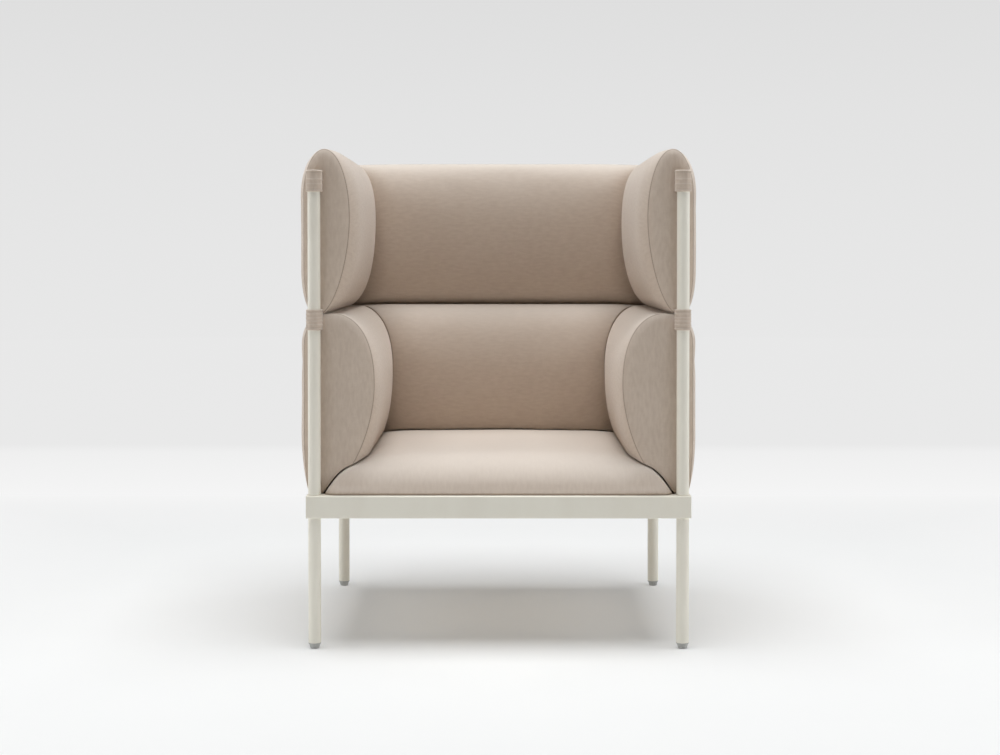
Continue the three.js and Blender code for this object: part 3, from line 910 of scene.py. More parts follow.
    def bead(self, start: Vector, end: Vector) -> BMesh:
        """Models a weld bead with its overlapping ripples.

        Args:
            start: Where the bead starts.
            end: Where it ends.

        Returns:
            The shape.
        """
        length = (end - start).length
        ripples = round(length / self.bead_pitch)
        per_ripple, around, valley, taper_power, thinnest = 6, 12, 0.86, 12, 0.02
        along = (end - start).normalized()
        side = along.orthogonal().normalized()
        other = along.cross(side)
        share = np.linspace(0, 1, ripples * per_ripple + 1)
        swell = valley + (1 - valley) * np.abs(np.sin(np.pi * share * ripples))
        taper = np.sqrt(np.clip(1 - (2 * share - 1) ** taper_power, thinnest, 1))
        radius = self.bead_radius * swell * taper
        angle = np.linspace(0, math.tau, around, endpoint=False)
        turned = np.outer(np.cos(angle), np.array(side)) + np.outer(np.sin(angle), np.array(other))
        middle = np.array(start) + np.outer(share, np.array(end - start))
        points = middle[:, None, :] + radius[:, None, None] * turned
        mesh = rolled(points, np.zeros((len(share), around + 1, 2)))
        bmesh.ops.holes_fill(mesh, edges=[e for e in mesh.edges if e.is_boundary], sides=0)
        bmesh.ops.recalc_face_normals(mesh, faces=mesh.faces)
        return mesh

    def weld(self, corner: Corner) -> BMesh:
        """Models the beads inside one corner of the seat frame and under its bracket."""
        side, depth = corner.value
        low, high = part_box(f"corner_bracket_{corner.label}")
        rail_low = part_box("front_rail")[0].z
        inner = Vector((high.x if side > 0 else low.x, high.y if depth > 0 else low.y, 0))
        inner += Vector((side * self.bead_tuck, depth * self.bead_tuck, 0))
        margin, up = self.bead_margin, Vector((0, 0, 1))
        beads = [self.bead(inner + up * (rail_low + margin), inner + up * (low.z - margin))]
        reach = abs(high.x - low.x) - 2 * margin
        for way in (Vector((-side, 0, 0)), Vector((0, -depth, 0))):
            start = inner + way * margin * 2 + up * (low.z - self.bead_tuck / 2)
            beads.append(self.bead(start, start + way * (reach - margin)))
        return gathered(beads)

    def screw(self, corner: Corner) -> BMesh:
        """Models the pan head screw that holds a corner's bracket to the seat board."""
        side, depth = corner.value
        low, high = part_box(f"corner_bracket_{corner.label}")
        hole_inset, head, height = 0.030, 0.0052, 0.0032
        shank, socket, socket_depth = 0.0024, 0.0018, 0.0016
        mesh = spun([
            (0, -height + socket_depth), (socket, -height + socket_depth), (socket, -height),
            (head * 0.55, -height), (head * 0.85, -height * 0.8), (head, -height * 0.3), (head, 0),
            (shank, 0), (shank, high.z - low.z + 0.010), (0, high.z - low.z + 0.012)], 36)
        inner = Vector((high.x if side > 0 else low.x, high.y if depth > 0 else low.y, low.z - GAP))
        bmesh.ops.translate(
            mesh, vec=inner - Vector((side * hole_inset, depth * hole_inset, 0)), verts=mesh.verts)
        return mesh


class Fittings:
    """Caps on the posts, inserts in the legs and the levelling glides."""

    sides = 56
    flutes = 14
    flute_depth = 0.0007
    thread_pitch = 0.00125
    thread_depth = 0.00065
    plug_inset = 0.0024

    def __init__(self, plan: Plan, workshop: Workshop) -> None:
        """Keeps the plan and the workshop."""
        self.plan = plan
        self.workshop = workshop

    def build(self) -> None:
        """Builds the fittings of the four corners."""
        for corner in Corner:
            name, make = corner.label, self.workshop.rigid
            make(self.cap(corner), f"cap_{name}", Finish.CAP, "chair", f"post_cap_{name}")
            make(self.insert(corner), f"insert_{name}", Finish.GLIDE, "chair", f"leg_insert_{name}")
            make(self.glide(corner), f"foot_{name}", Finish.GLIDE, f"foot_{name}", f"glide_{name}")

    def placed(self, mesh: BMesh, corner: Corner) -> BMesh:
        """Moves a shape that was modelled on the axis to its corner."""
        bmesh.ops.translate(mesh, vec=self.plan.corner(corner), verts=mesh.verts)
        return mesh

    def cap(self, corner: Corner) -> BMesh:
        """Models a slightly domed plug cap with its grip ribs."""
        low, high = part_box(f"post_cap_{corner.label}")
        rim, plug, thickness = self.plan.tube, self.plan.tube - self.plug_inset, 0.0015
        top, seat = high.z, high.z - thickness
        ribs, root, half_rib = 3, plug * 0.9, 0.0008
        profile = [(0, low.z), (plug * 0.82, low.z)]
        for i in range(ribs):
            height = low.z + (seat - low.z) * (i + 0.35) / ribs
            profile += [(root, height - half_rib), (plug, height), (root, height + half_rib)]
        profile += [
            (root, seat), (rim, seat), (rim, seat + thickness * 0.45),
            (rim - 0.0002, seat + thickness * 0.68), (rim - 0.0007, top - 0.0002), (rim - 0.0014, top),
            (rim * 0.5, top), (0, top)]
        return self.placed(spun(profile, self.sides), corner)

    def insert(self, corner: Corner) -> BMesh:
        """Models the flanged insert that closes a leg."""
        low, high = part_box(f"leg_insert_{corner.label}")
        bore, flange = 0.00425, 0.002
        rim, plug, lip = self.plan.tube, self.plan.tube - self.plug_inset, 0.0004
        profile = [
            (bore, low.z), (rim - lip * 2, low.z), (rim - lip * 0.6, low.z + lip * 0.6),
            (rim, low.z + lip * 2),
            (rim, low.z + flange - lip), (rim - lip, low.z + flange), (plug, low.z + flange),
            (plug, high.z - lip * 2), (plug - lip * 2, high.z), (bore, high.z)]
        return self.placed(spun(profile, self.sides), corner)

    def glide(self, corner: Corner) -> BMesh:
        """Models a fluted glide with the thread of its stud.

        Args:
            corner: The leg's corner.

        Returns:
            The shape.
        """
        low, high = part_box(f"glide_{corner.label}")
        foot_top, pad, head, stud = 0.0099, 0.0100, 0.0120, 0.0040
        turns = int((high.z - low.z - foot_top) / self.thread_pitch) - 1
        root = stud - self.thread_depth
        profile = [
            (0, 0.0), (pad - 0.0012, 0.0), (pad - 0.0004, 0.0004), (pad, 0.0011), (pad + 0.0006, 0.0032),
            (head - 0.0005, 0.0066), (head, 0.0080), (head, foot_top - 0.0008),
            (head - 0.0002, foot_top - 0.0003), (head - 0.0008, foot_top), (stud, foot_top)]
        for turn in range(turns):
            start = foot_top + 0.0006 + turn * self.thread_pitch
            crest = (start + self.thread_pitch * 0.45, start + self.thread_pitch * 0.6)
            profile += [(root, start), (stud, crest[0]), (stud, crest[1])]
        profile += [(root, high.z - 0.0006), (root - self.thread_depth, high.z), (0, high.z)]
        mesh = spun([(radius, low.z + height) for radius, height in profile], self.sides)
        for vert in mesh.verts:
            if vert.co.xy.length <= pad * 0.97 or not 0.0008 < vert.co.z - low.z < foot_top - 0.0006:
                continue
            turn = math.atan2(vert.co.y, vert.co.x) * self.flutes
            shrink = 1 - self.flute_depth * (0.5 + 0.5 * math.cos(turn)) / vert.co.xy.length
            vert.co.xy *= shrink
        return self.placed(mesh, corner)


@dataclass
class PostSleeves:
    """Cloth sleeves that tie the cushions' ends to the posts."""

    plan: Plan
    workshop: Workshop
    thickness: float = 0.003
    hem: float = 0.0052
    hem_swell: float = 0.0006
    stitch_groove: float = 0.0008
    stitch_width: float = 0.0007
    stitch_shade: float = 0.35
    shade_width: float = 0.0008
    ridge: float = 0.0010
    ridge_width: float = 0.0015
    waver_scale: float = 70.0
    waver_out: float = 0.00025
    waver_up: float = 0.0005

    # Heights of the folds as shares of each sleeve.
    folds = {"top": (0.33, 0.56), "mid": (0.24, 0.42, 0.58, 0.76)}

    def build(self) -> None:
        """Builds the top and middle sleeve of each post."""
        for corner in Corner:
            for level, shares in self.folds.items():
                node = f"sleeve_{level}_{corner.label}"
                piece = self.workshop.piece(self.sleeve(corner, node, shares), f"cloth_{node}")
                self.workshop.hand_over(piece, Finish.CLOTH, "chair", [node])

    def wall(self, height: float, ridges: Sequence[float]) -> np.ndarray:
        """Returns the sleeve's wall as offsets from the post's centre line and heights.

        Args:
            height: Height of the sleeve.
            ridges: Heights of its folds as shares.

        Returns:
            The closed outline, from the inner foot out and round.
        """
        inner = self.plan.tube + GAP
        rim, steps = self.thickness / 2, 5
        turn = np.linspace(-math.pi / 2, 0, steps)
        rise = np.linspace(rim, height - rim, 44)
        outer = inner + self.thickness + np.zeros_like(rise)
        for share in ridges:
            outer += self.ridge * np.exp(-((rise - share * height) / self.ridge_width) ** 2)
        for edge in (0.0, height):
            reach = np.abs(rise - edge)
            outer += self.hem_swell * np.exp(-((reach - self.hem / 2) / (self.hem / 2)) ** 4)
            outer -= self.stitch_groove * np.exp(-((reach - self.hem) / self.stitch_width) ** 2)
        foot = np.stack([inner + rim + rim * np.cos(turn), rim + rim * np.sin(turn)], axis=1)
        head = np.stack([
            inner + rim + rim * np.cos(-turn[::-1]), height - rim - rim * np.sin(turn[::-1])], axis=1)
        back = np.stack([np.full(4, inner), np.linspace(height - rim, rim, 4)], axis=1)
        return np.concatenate([foot[:-1], np.stack([outer, rise], axis=1), head[1:], back])

    def path(self, corner: Corner, offset: float) -> np.ndarray:
        """Returns the way round a post at an offset: a U in front, an elbow behind.

        Args:
            corner: The post's corner.
            offset: Distance from the post's centre line.

        Returns:
            X and Y from the post's centre, for a post on the left.
        """
        reach = self.plan.post_room - GAP
        straight = np.linspace(reach, 0, 6)[:-1]
        start = np.stack([np.full_like(straight, -offset), straight], axis=1)
        quarters = 2 if corner.value[1] < 0 else 1
        angle = np.pi + np.linspace(0, quarters * math.pi / 2, quarters * 14 + 1)
        bend = offset * np.stack([np.cos(angle), np.sin(angle)], axis=1)
        if corner.value[1] < 0:
            finish = np.stack([np.full_like(straight, offset), straight[::-1]], axis=1)
        else:
            finish = np.stack([straight[::-1], np.full_like(straight, -offset)], axis=1)
        points = np.concatenate([start, bend, finish])
        return points if corner.value[1] < 0 else points * (1, -1)

    def sleeve(self, corner: Corner, node: str, ridges: Sequence[float]) -> BMesh:
        """Models one sleeve.

        Args:
            corner: The post's corner.
            node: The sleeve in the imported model.
            ridges: Heights of its folds as shares.

        Returns:
            The shape.
        """
        low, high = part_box(node)
        wall = self.wall(high.z - low.z, ridges)
        paths = np.stack([self.path(corner, offset) for offset, _ in wall], axis=1)
        centre = self.plan.corner(corner)
        side = -corner.value[0]
        x = centre.x + side * paths[..., 0]
        y = centre.y + paths[..., 1]
        z = np.broadcast_to(low.z + wall[:, 1], x.shape)
        points = np.stack([x, y, z], axis=-1)
        waver = np.array([
            [noise.noise(Vector(place) * self.waver_scale) for place in row] for row in points.tolist()])
        outward = paths / np.linalg.norm(paths, axis=-1, keepdims=True)
        points[..., 0] += side * outward[..., 0] * waver * self.waver_out
        points[..., 1] += outward[..., 1] * waver * self.waver_out
        points[..., 2] += waver * self.waver_up
        mesh = rolled(points, self.weave(paths, wall))
        bmesh.ops.holes_fill(mesh, edges=[e for e in mesh.edges if e.is_boundary], sides=0)
        bmesh.ops.recalc_face_normals(mesh, faces=mesh.faces)
        seam = mesh.verts.layers.float.new(SEAM_LAYER)
        along = mesh.verts.layers.float.new(ALONG_LAYER)
        for vert in mesh.verts:
            reach = min(vert.co.z - low.z, high.z - vert.co.z)
            vert[seam] = self.stitch_shade * math.exp(-((reach - self.hem) / self.shade_width) ** 2)
            vert[along] = math.atan2(vert.co.y - centre.y, vert.co.x - centre.x) * self.plan.tube
        return mesh

    def weave(self, paths: np.ndarray, wall: np.ndarray) -> np.ndarray:
        """Returns the weave map of a sleeve: along its path and round its wall."""
        run = np.linalg.norm(np.diff(paths[:, 0], axis=0), axis=1)
        along = np.concatenate([[0], np.cumsum(run)])
        loop = np.concatenate([wall, wall[:1]])
        across = np.concatenate([[0], np.cumsum(np.linalg.norm(np.diff(loop, axis=0), axis=1))])
        return np.stack(np.meshgrid(along, across, indexing="ij"), axis=-1)


@dataclass(frozen=True)
class Outline:
    """Shape of a standing cushion's section: places as shares of its depth and height, and roundness."""

    nose: float
    tip: float
    heel: float
    belly: float
    flank_top: float
    flank_low: float
    powers: tuple[float, float, float, float]

    def points(self, depth: float, height: float, outer_fill: float, fill: float) -> np.ndarray:
        """Returns the section as depths and heights, finely stepped.

        Args:
            depth: Depth of the seam outline.
            height: Height of the cushion.
            outer_fill: How far the filling swells the outer side.
            fill: How far it swells the belly.

        Returns:
            The closed outline, from the top round the belly, the foot and the flank.
        """
        nose, tip, heel = depth * self.nose, depth * self.tip, depth * self.heel
        belly, flank_top, flank_low = (height * s for s in (self.belly, self.flank_top, self.flank_low))
        reach = depth + fill
        quarters = [
            ((nose, belly), (reach - nose, height - belly), 1),
            ((tip, belly), (reach - tip, belly), 0),
            ((heel, flank_low), (heel + outer_fill, flank_low), -1),
            ((nose, flank_top), (nose + outer_fill, height - flank_top), -2),
        ]
        steps = np.linspace(0, 1, 65)
        parts = []
        for (centre, radii, turn), power in zip(quarters, self.powers):
            angle = (turn - steps) * math.pi / 2
            round_off = [np.sign(v) * np.abs(v) ** (2 / power) for v in (np.cos(angle), np.sin(angle))]
            parts.append(np.stack([centre[i] + radii[i] * round_off[i] for i in (0, 1)], axis=1))
        return np.concatenate(parts)


class Shape(Enum):
    """The two cushion shapes: outlines at the seam and at mid length, depth, belly fill and outer fill."""

    WING = (
        Outline(0.45, 0.34, 0.26, 0.577, 0.72, 0.31, (1.95, 1.65, 2.1, 1.9)),
        Outline(0.45, 0.30, 0.22, 0.577, 0.74, 0.27, (2.5, 2.15, 2.2, 2.3)),
        0.0985, 0.0235, 0.0165)
    ARM = (
        Outline(0.366, 0.20, 0.08, 0.60, 0.80, 0.36, (2.3, 1.67, 2.0, 2.3)),
        Outline(0.38, 0.20, 0.08, 0.60, 0.82, 0.34, (2.4, 2.3, 2.0, 2.4)),
        0.1550, 0.0130, 0.0165)

    def outlines(self, height: float, count: int, shrink: float) -> tuple[np.ndarray, np.ndarray, np.ndarray]:
        """Steps the seam outline and the full section alike.

        Args:
            height: Height of the cushion.
            count: Number of steps.
            shrink: How much thinner the full section starts, for covers that are inflated afterwards.

        Returns:
            Seam outline, full section and the seam outline's outward normals.
        """
        at_seam, at_middle, depth, fill, outer_fill = self.value
        seam = at_seam.points(depth, height, 0.0, 0.0)
        full = at_middle.points(depth, height, outer_fill - shrink, fill - shrink)
        # Both are stepped by the length of the outline halfway between them.
        both = (seam + full) / 2
        lengths = np.linalg.norm(np.diff(both, axis=0, append=both[:1]), axis=1)
        reach = np.concatenate([[0], np.cumsum(lengths)])
        targets = np.linspace(0, reach[-1], count, endpoint=False)
        stepped = []
        for outline in (seam, full):
            loop = np.concatenate([outline, outline[:1]])
            stepped.append(np.stack([np.interp(targets, reach, loop[:, i]) for i in (0, 1)], axis=1))
        tangent = np.roll(stepped[0], -1, axis=0) - np.roll(stepped[0], 1, axis=0)
        tangent /= np.linalg.norm(tangent, axis=1, keepdims=True)
        return stepped[0], stepped[1], np.stack([-tangent[:, 1], tangent[:, 0]], axis=1)


@dataclass
class StandingCushion:
    """A rolled cushion between two posts: one cover sewn to a flat panel at each end."""

    name: str
    wall: Wall
    shape: Shape
    plan: Plan
    inflate: bool
    steps: int = 144
    step_length: float = 0.010
    seam_back: float = 0.0060
    seam_depth: float = 0.0012
    seam_width: float = 0.0016
    panel_roll: float = 0.021
    panel_power: float = 2.4
    contact: float = 0.0026
    contact_fade: float = 6.0
    back_rise: float = 0.0032
    rise_reach: float = 0.12
    rise_run: float = 0.07
    overlap: float = 0.0006
    squeeze: float = 0.0015
    settle_height: float = 0.030
    crown_run: float = 0.090
    mitre_crown_run: float = 0.075
    crown_power: float = 2.5
    shrink: float = 0.0035
    unevenness: float = 0.0009
    lump_scale: float = 9.0
    top_swell: float = 0.0032
    dome: float = 0.0045
    dome_clear: float = 0.0185
    dome_fade: float = 0.03
    panel_grid: float = 0.14

    # Distances of the rows beside a seam, along the cover and in from the rim of a panel.
    near_seam = np.array([0, 0.7, 1.5, 2.6, 4.2, 6.4, 9.2, 13, 18, 24.5, 33, 42.5, 52.5]) * MM
    panel_rings = np.array([0.5, 1.2, 2.3, 4.0, 6.3, 9.2, 13.0, 17.5]) * MM

    @property
    def foot(self) -> float:
        """Height of the cushion's lowest point before it is pressed on what carries it."""
        return self.plan.rail_top + GAP if self.shape is Shape.ARM else self.plan.junction - self.squeeze

    @property
    def height(self) -> float:
        """Height of the cushion: up to the one above it, or a little over its own box when filled."""
        top = self.plan.junction + self.squeeze if self.shape is Shape.ARM else (
            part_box(self.name)[1].z + self.top_swell)
        return top - self.foot

    def crown(self, distance: np.ndarray, run: float) -> np.ndarray:
        """Returns how full the section is at a distance from an end, 0 to 1."""
        return 1 - (1 - np.clip(distance / run, 0, 1)) ** self.crown_power

    def cover(self) -> BMesh:
        """Models the cover with its two end panels.

        Returns:
            The closed shape, with the seam layers and the weave map.
        """
        shrink = self.shrink if self.inflate else 0.0
        seam, full, normal = self.shape.outlines(self.height, self.steps, shrink)
        start = self.plan.end_of_run(self.wall, seam[:, 0], True) + self.seam_back
        end = self.plan.end_of_run(self.wall, seam[:, 0], False) - self.seam_back
        near = self.near_seam
        count = round((end.max() - start.min() - 2 * near[-1]) / self.step_length)
        shares = np.linspace(0, 1, count + 1)[1:-1]
        middle_length = end - start - 2 * near[-1]
        run = np.concatenate([
            start + near[:, None],
            start + near[-1] + shares[:, None] * middle_length,
            end - near[::-1, None]])
        from_start, from_end = run - start, end - run
        start_run = self.mitre_crown_run if self.wall is Wall.BACK else self.crown_run
        fullness = self.crown(from_start + self.seam_back, start_run) * self.crown(
            from_end + self.seam_back, self.mitre_crown_run)
        groove = self.seam_depth * (
            np.exp(-(from_start / self.seam_width) ** 2) + np.exp(-(from_end / self.seam_width) ** 2))
        outline = seam + (full - seam) * fullness[..., None] - normal * groove[..., None]
        lumps = self.lumps(run, outline) * np.minimum(fullness, 1)
        outline += normal * lumps[..., None]
        heights = outline[..., 1] + self.foot
        points = self.plan.place(self.wall, run, outline[..., 0], heights)
        loop = np.concatenate([full, full[:1]])
        around = np.concatenate([[0], np.cumsum(np.linalg.norm(np.diff(loop, axis=0), axis=1))])
        weave_run = np.concatenate([run, run[:, :1]], axis=1)
        weave = np.stack([np.broadcast_to(around, weave_run.shape), weave_run], axis=-1)
        mesh = rolled(points, weave)
        seam_layer = mesh.verts.layers.float.new(SEAM_LAYER)
        along_layer = mesh.verts.layers.float.new(ALONG_LAYER)
        step = mesh.verts.layers.int[STEP_LAYER]
        station = mesh.verts.layers.int[STATION_LAYER]
        closeness = np.exp(-(np.minimum(from_start, from_end) / (0.5 * self.seam_width)) ** 2).tolist()
        around_list = around.tolist()
        for vert in mesh.verts:
            vert[seam_layer] = closeness[vert[station]][vert[step]]
            vert[along_layer] = around_list[vert[step]]
        self.end_panel(mesh, True, outline[0], normal)
        self.end_panel(mesh, False, outline[-1], normal)
        bmesh.ops.recalc_face_normals(mesh, faces=mesh.faces)
        return mesh

    def lumps(self, run: np.ndarray, outline: np.ndarray) -> np.ndarray:
        """Returns the slight unevenness of the filling at each point."""
        # A shift of its own in the noise for each wall and shape.
        seed = Vector((3.1 * list(Wall).index(self.wall), 7.7 * list(Shape).index(self.shape), 0))
        places = np.stack([run, outline[..., 0], outline[..., 1]], axis=-1) * self.lump_scale
        values = [[noise.noise(Vector(p) + seed) for p in row] for row in places.tolist()]
        height = outline[..., 1]
        near = np.minimum(height, self.height - height) / self.settle_height
        return np.array(values) * self.unevenness * np.clip(near, 0, 1)

    def pressed(self, reach: np.ndarray) -> np.ndarray:
        """Returns a distance from the neighbour once the filling is pressed against it."""
        soft = self.contact
        given = soft / 2 * np.exp(-(reach - soft) / (self.contact_fade * soft))
        return np.where(reach < soft, reach ** 2 / (2 * soft), reach - given)

    def end_panel(self, mesh: BMesh, at_start: bool, rim: np.ndarray, normal: np.ndarray) -> None:
        """Sews a flat panel into one end of the cover.

        Args:
            mesh: The cover.
            at_start: Whether the panel is at the low end of the run.
            rim: Depths and heights of the seam.
            normal: Outward normals of the seam outline.
        """
        station = 0 if at_start else max(v[mesh.verts.layers.int[STATION_LAYER]] for v in mesh.verts)
        seam_layer = mesh.verts.layers.float[SEAM_LAYER]
        verts = ring(mesh, station)
        before = set(mesh.faces)
        room = self.panel_room(rim, normal)
        for inset in self.panel_rings:
            inner = rim - normal * (room * np.tanh(inset / room))[:, None]
            verts = drawn_ring(mesh, verts, self.panel_places(rim, inner, at_start))
            closeness = math.exp(-(inset / (0.5 * self.seam_width)) ** 2)
            for vert in verts:
                vert[seam_layer] = closeness
        across = round(self.steps * self.panel_grid)
        middle = filled_ring(mesh, verts, self.steps - across // 2, across)
        inside = list({v for face in middle for v in face.verts}.difference(verts))
        _, depth, height = self.plan.locate(self.wall, np.array([v.co for v in inside]))
        inner = np.stack([depth, height - self.foot], axis=1)
        for vert, place in zip(inside, self.panel_places(rim, inner, at_start).tolist()):
            vert.co = place
        uv = mesh.loops.layers.uv[WEAVE_MAP]
        for face in mesh.faces:
            if face in before:
                continue
            for loop in face.loops:
                co = loop.vert.co
                loop[uv].uv = (co.x if self.wall is not Wall.BACK else co.y, co.z)

    @staticmethod
    def distance(rim: np.ndarray, points: np.ndarray) -> np.ndarray:
        """Returns how far points are from a closed outline."""
        following = np.roll(rim, -1, axis=0)
        edge = following - rim
        length = np.maximum((edge ** 2).sum(axis=1), 1e-12)
        offset = points[:, None] - rim[None]
        share = np.clip((offset * edge[None]).sum(axis=2) / length, 0, 1)
        return np.linalg.norm(offset - share[..., None] * edge[None], axis=2).min(axis=1)

    def panel_room(self, rim: np.ndarray, normal: np.ndarray) -> np.ndarray:
        """Returns how far the panel's rings may be drawn in at each step before they cross."""
        first, furthest, tries = 0.002, self.panel_roll * 1.3, 24
        touching, safe, evenings = 0.97, 0.7, 6
        room = np.full(len(rim), self.panel_roll)
        for inset in np.linspace(first, furthest, tries):
            crossed = self.distance(rim, rim - normal * inset) < inset * touching
            room = np.where(crossed, np.minimum(room, inset * safe), room)
        for _ in range(evenings):
            room = (np.roll(room, 1) + room + np.roll(room, -1)) / 3
        return room

    def panel_places(self, rim: np.ndarray, inner: np.ndarray, at_start: bool) -> np.ndarray:
        """Returns the places of points on an end panel, which rolls back towards its seam.

        Args:
            rim: Depths and heights of the seam.
            inner: Depths and heights of the points.
            at_start: Whether the panel is at the low end of the run.

        Returns:
            The places.
        """
        near = 1 - np.clip(self.distance(rim, inner) / self.panel_roll, 0, 1)
        back = self.seam_back * near ** self.panel_power
        run = self.plan.end_of_run(self.wall, inner[:, 0], at_start) + (back if at_start else -back)
        return self.plan.place(self.wall, run, inner[:, 0], inner[:, 1] + self.foot)

    def settled(self, places: np.ndarray) -> np.ndarray:
        """Keeps points of the cover clear of the posts, the mitres and the cushions above and below.

        Args:
            places: The cover's points.

        Returns:
            The points, moved where they were too far out.
        """
        run, depth, height = self.plan.locate(self.wall, places)
        low = self.plan.end_of_run(self.wall, depth, True)
        high = self.plan.end_of_run(self.wall, depth, False)
        if self.wall is not Wall.BACK:
            past = depth - (self.plan.cushion_out + self.dome_clear)
            low = low - self.dome * np.clip(past / self.dome_fade, 0, 1)
        run = np.clip(run, low, high)
        if self.shape is Shape.ARM:
            top = self.plan.junction + self.overlap / 2
            height = top - self.pressed(np.maximum(top - height, 0))
            height = self.foot + self.pressed(np.maximum(height - self.foot, 0))
        else:
            low_plane = self.plan.junction - self.overlap / 2
            height = low_plane + self.pressed(np.maximum(height - low_plane, 0))
        if self.wall is Wall.BACK:
            near = 1 - np.clip(np.abs(height - self.plan.junction) / self.rise_reach, 0, 1)
            inside = np.clip(np.minimum(run - low, high - run) / self.rise_run, 0, 1)
            height = height + self.back_rise * softened(near) * softened(inside)
        return self.plan.place(self.wall, run, depth, height)


@dataclass
class SeatCushion:
    """Crowned seat pillow between the arms, sewn all round its lower edge."""

    plan: Plan
    inflate: bool
    side_inset: float = 0.0215
    rear_inset: float = 0.022
    setback: float = 0.0070
    thickness: float = 0.0905
    dome: float = 0.0065
    front_power: float = 5.0
    front_root: float = 1.9
    edge: float = 0.0032
    crown_power: float = 8.0
    corner_start: float = 0.70
    corner_fullness: float = 12.0
    edge_power: float = 26.0
    blend_power: float = 8.0
    corner_share: float = 0.08
    corner_growth: float = 0.5
    rings: int = 46
    shrink: float = 0.001
    unevenness: float = 0.0012
    lump_scale: float = 7.0
    ring_spacing: float = 1.55
    corner_steps: int = 13
    pull_power: int = 6
    least_part: float = 1e-4

    # Inset, height and closeness to the seam of each ring under the edge.
    underside_rings = (
        (0.0016, 0.0023, 1.0), (0.0006, 0.0014, 0.3), (0.0012, 0.0005, 0.0), (0.0060, 0.0, 0.0))

    @property
    def base(self) -> float:
        """Height of the cushion's underside."""
        return self.plan.rail_top + GAP

    def bounds(self) -> tuple[float, float, float, float]:
        """Returns half width, half depth and the centre's X and Y."""
        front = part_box("front_rail")[0].y + self.setback
        rear = self.plan.rear_y - self.rear_inset
        return self.plan.post_x - self.side_inset, (rear - front) / 2, 0.0, (rear + front) / 2

    def outline(self, share: float, count: int) -> np.ndarray:
        """Returns a rectangle with round corners, drawn in by a share.

        Args:
            share: How far it is drawn in, 0 at the edge and 1 at the centre.
            count: Number of points, evenly spaced, from the middle of the right side.

        Returns:
            X and Y of each point.
        """
        half_x, half_y, centre_x, centre_y = self.bounds()
        half_x, half_y = half_x * (1 - share), half_y * (1 - share)
        radius = min(half_x, half_y) * (self.corner_share + self.corner_growth * share)
        parts = []
        for quarter, (sx, sy) in enumerate(((1, 1), (-1, 1), (-1, -1), (1, -1))):
            angle = (quarter + np.linspace(0, 1, self.corner_steps)) * math.pi / 2
            parts.append(np.stack([
                sx * (half_x - radius) + radius * np.cos(angle),
                sy * (half_y - radius) + radius * np.sin(angle)], axis=1))
        fine = np.concatenate([[[half_x, 0.0]], *parts, [[half_x, 0.0]]])
        reach = np.concatenate([[0], np.cumsum(np.linalg.norm(np.diff(fine, axis=0), axis=1))])
        targets = self.targets(fine, reach, count)
        x, y = (np.interp(targets, reach, fine[:, i]) for i in (0, 1))
        return np.stack([x + centre_x, y + centre_y], axis=1)

    def targets(self, fine: np.ndarray, reach: np.ndarray, count: int) -> np.ndarray:
        """Spaces the points so that every corner's middle is a point.

        Args:
            fine: The outline, finely stepped.
            reach: Length along it at each of its points.
            count: Number of points, a multiple of eight.

        Returns:
            Length along the outline at each point.
        """
        middles = [reach[1 + quarter * self.corner_steps + self.corner_steps // 2] for quarter in range(4)]
        eighth = count // 8
        marks = [0.0, *middles, reach[-1]]
        counts = [eighth, 2 * eighth, 2 * eighth, 2 * eighth, eighth]
        return np.concatenate([
            np.linspace(low, high, steps, endpoint=False)
            for low, high, steps in zip(marks, marks[1:], counts)])

    def rise(self, x: np.ndarray, y: np.ndarray, share: float) -> np.ndarray:
        """Returns the top's height above the underside: round at its sides, fuller in its front corners.

        Args:
            x: Place across the seat.
            y: Place along its depth.
            share: How far the ring that the places lie on is drawn in.

        Returns:
            The heights.
        """
        half_x, half_y, centre_x, centre_y = self.bounds()
        across, along = np.abs(x - centre_x) / half_x, (y - centre_y) / half_y
        corner = np.clip((across - self.corner_start) / (1 - self.corner_start), 0, 1)
        fuller = softened(corner)
        front = self.front_power + (self.crown_power + self.corner_fullness - self.front_power) * fuller
        power = np.where(along < 0, front, self.crown_power)
        sides = 1 - np.clip(across, 0, 1) ** self.crown_power
        root = np.where(along < 0, 1 + (self.front_root - 1) * (1 - fuller), 1.0)
        ends = np.maximum(1 - np.clip(np.abs(along), 0, 1) ** power, 0) ** (1 / root)
        ring_limit = 1 - (1 - share) ** self.edge_power
        limits = (sides, ends, np.full_like(x, ring_limit))
        values = [np.maximum(v, self.least_part) ** -self.blend_power for v in limits]
        fullness = sum(values) ** (-1 / self.blend_power)
        full = self.thickness + self.dome * (1 - np.clip(across, 0, 1) ** 2)
        full = full - (self.shrink if self.inflate else 0.0)
        return self.edge + (full - self.edge) * fullness

    def grid(self) -> np.ndarray:
        """Returns the top as a square grid whose rings are drawn-in outlines."""
        side = 2 * self.rings
        places = np.zeros((side + 1, side + 1, 3))
        for index in range(self.rings + 1):
            share = (index / self.rings) ** self.ring_spacing
            reach = self.rings - index
            if reach == 0:
                _, _, x, y = self.bounds()
                centre = self.rise(np.array([x]), np.array([y]), 1.0)[0]
                places[self.rings, self.rings] = (x, y, self.base + centre)
                continue
            outline = self.outline(share, 8 * reach)
            heights = self.base + self.rise(outline[:, 0], outline[:, 1], share)
            for step, ((x, y), height) in enumerate(zip(outline, heights)):
                row, column = self.ring_cell(step, reach)
                places[self.rings + row, self.rings + column] = (x, y, height)
        return places

    @staticmethod
    def ring_cell(step: int, reach: int) -> tuple[int, int]:
        """Returns the grid row and column, from the centre, of a step round a square ring."""
        if step <= reach:
            return step, reach
        if step <= 3 * reach:
            return reach, 2 * reach - step
        if step <= 5 * reach:
            return 4 * reach - step, -reach
        if step <= 7 * reach:
            return -reach, step - 6 * reach
        return step - 8 * reach, reach

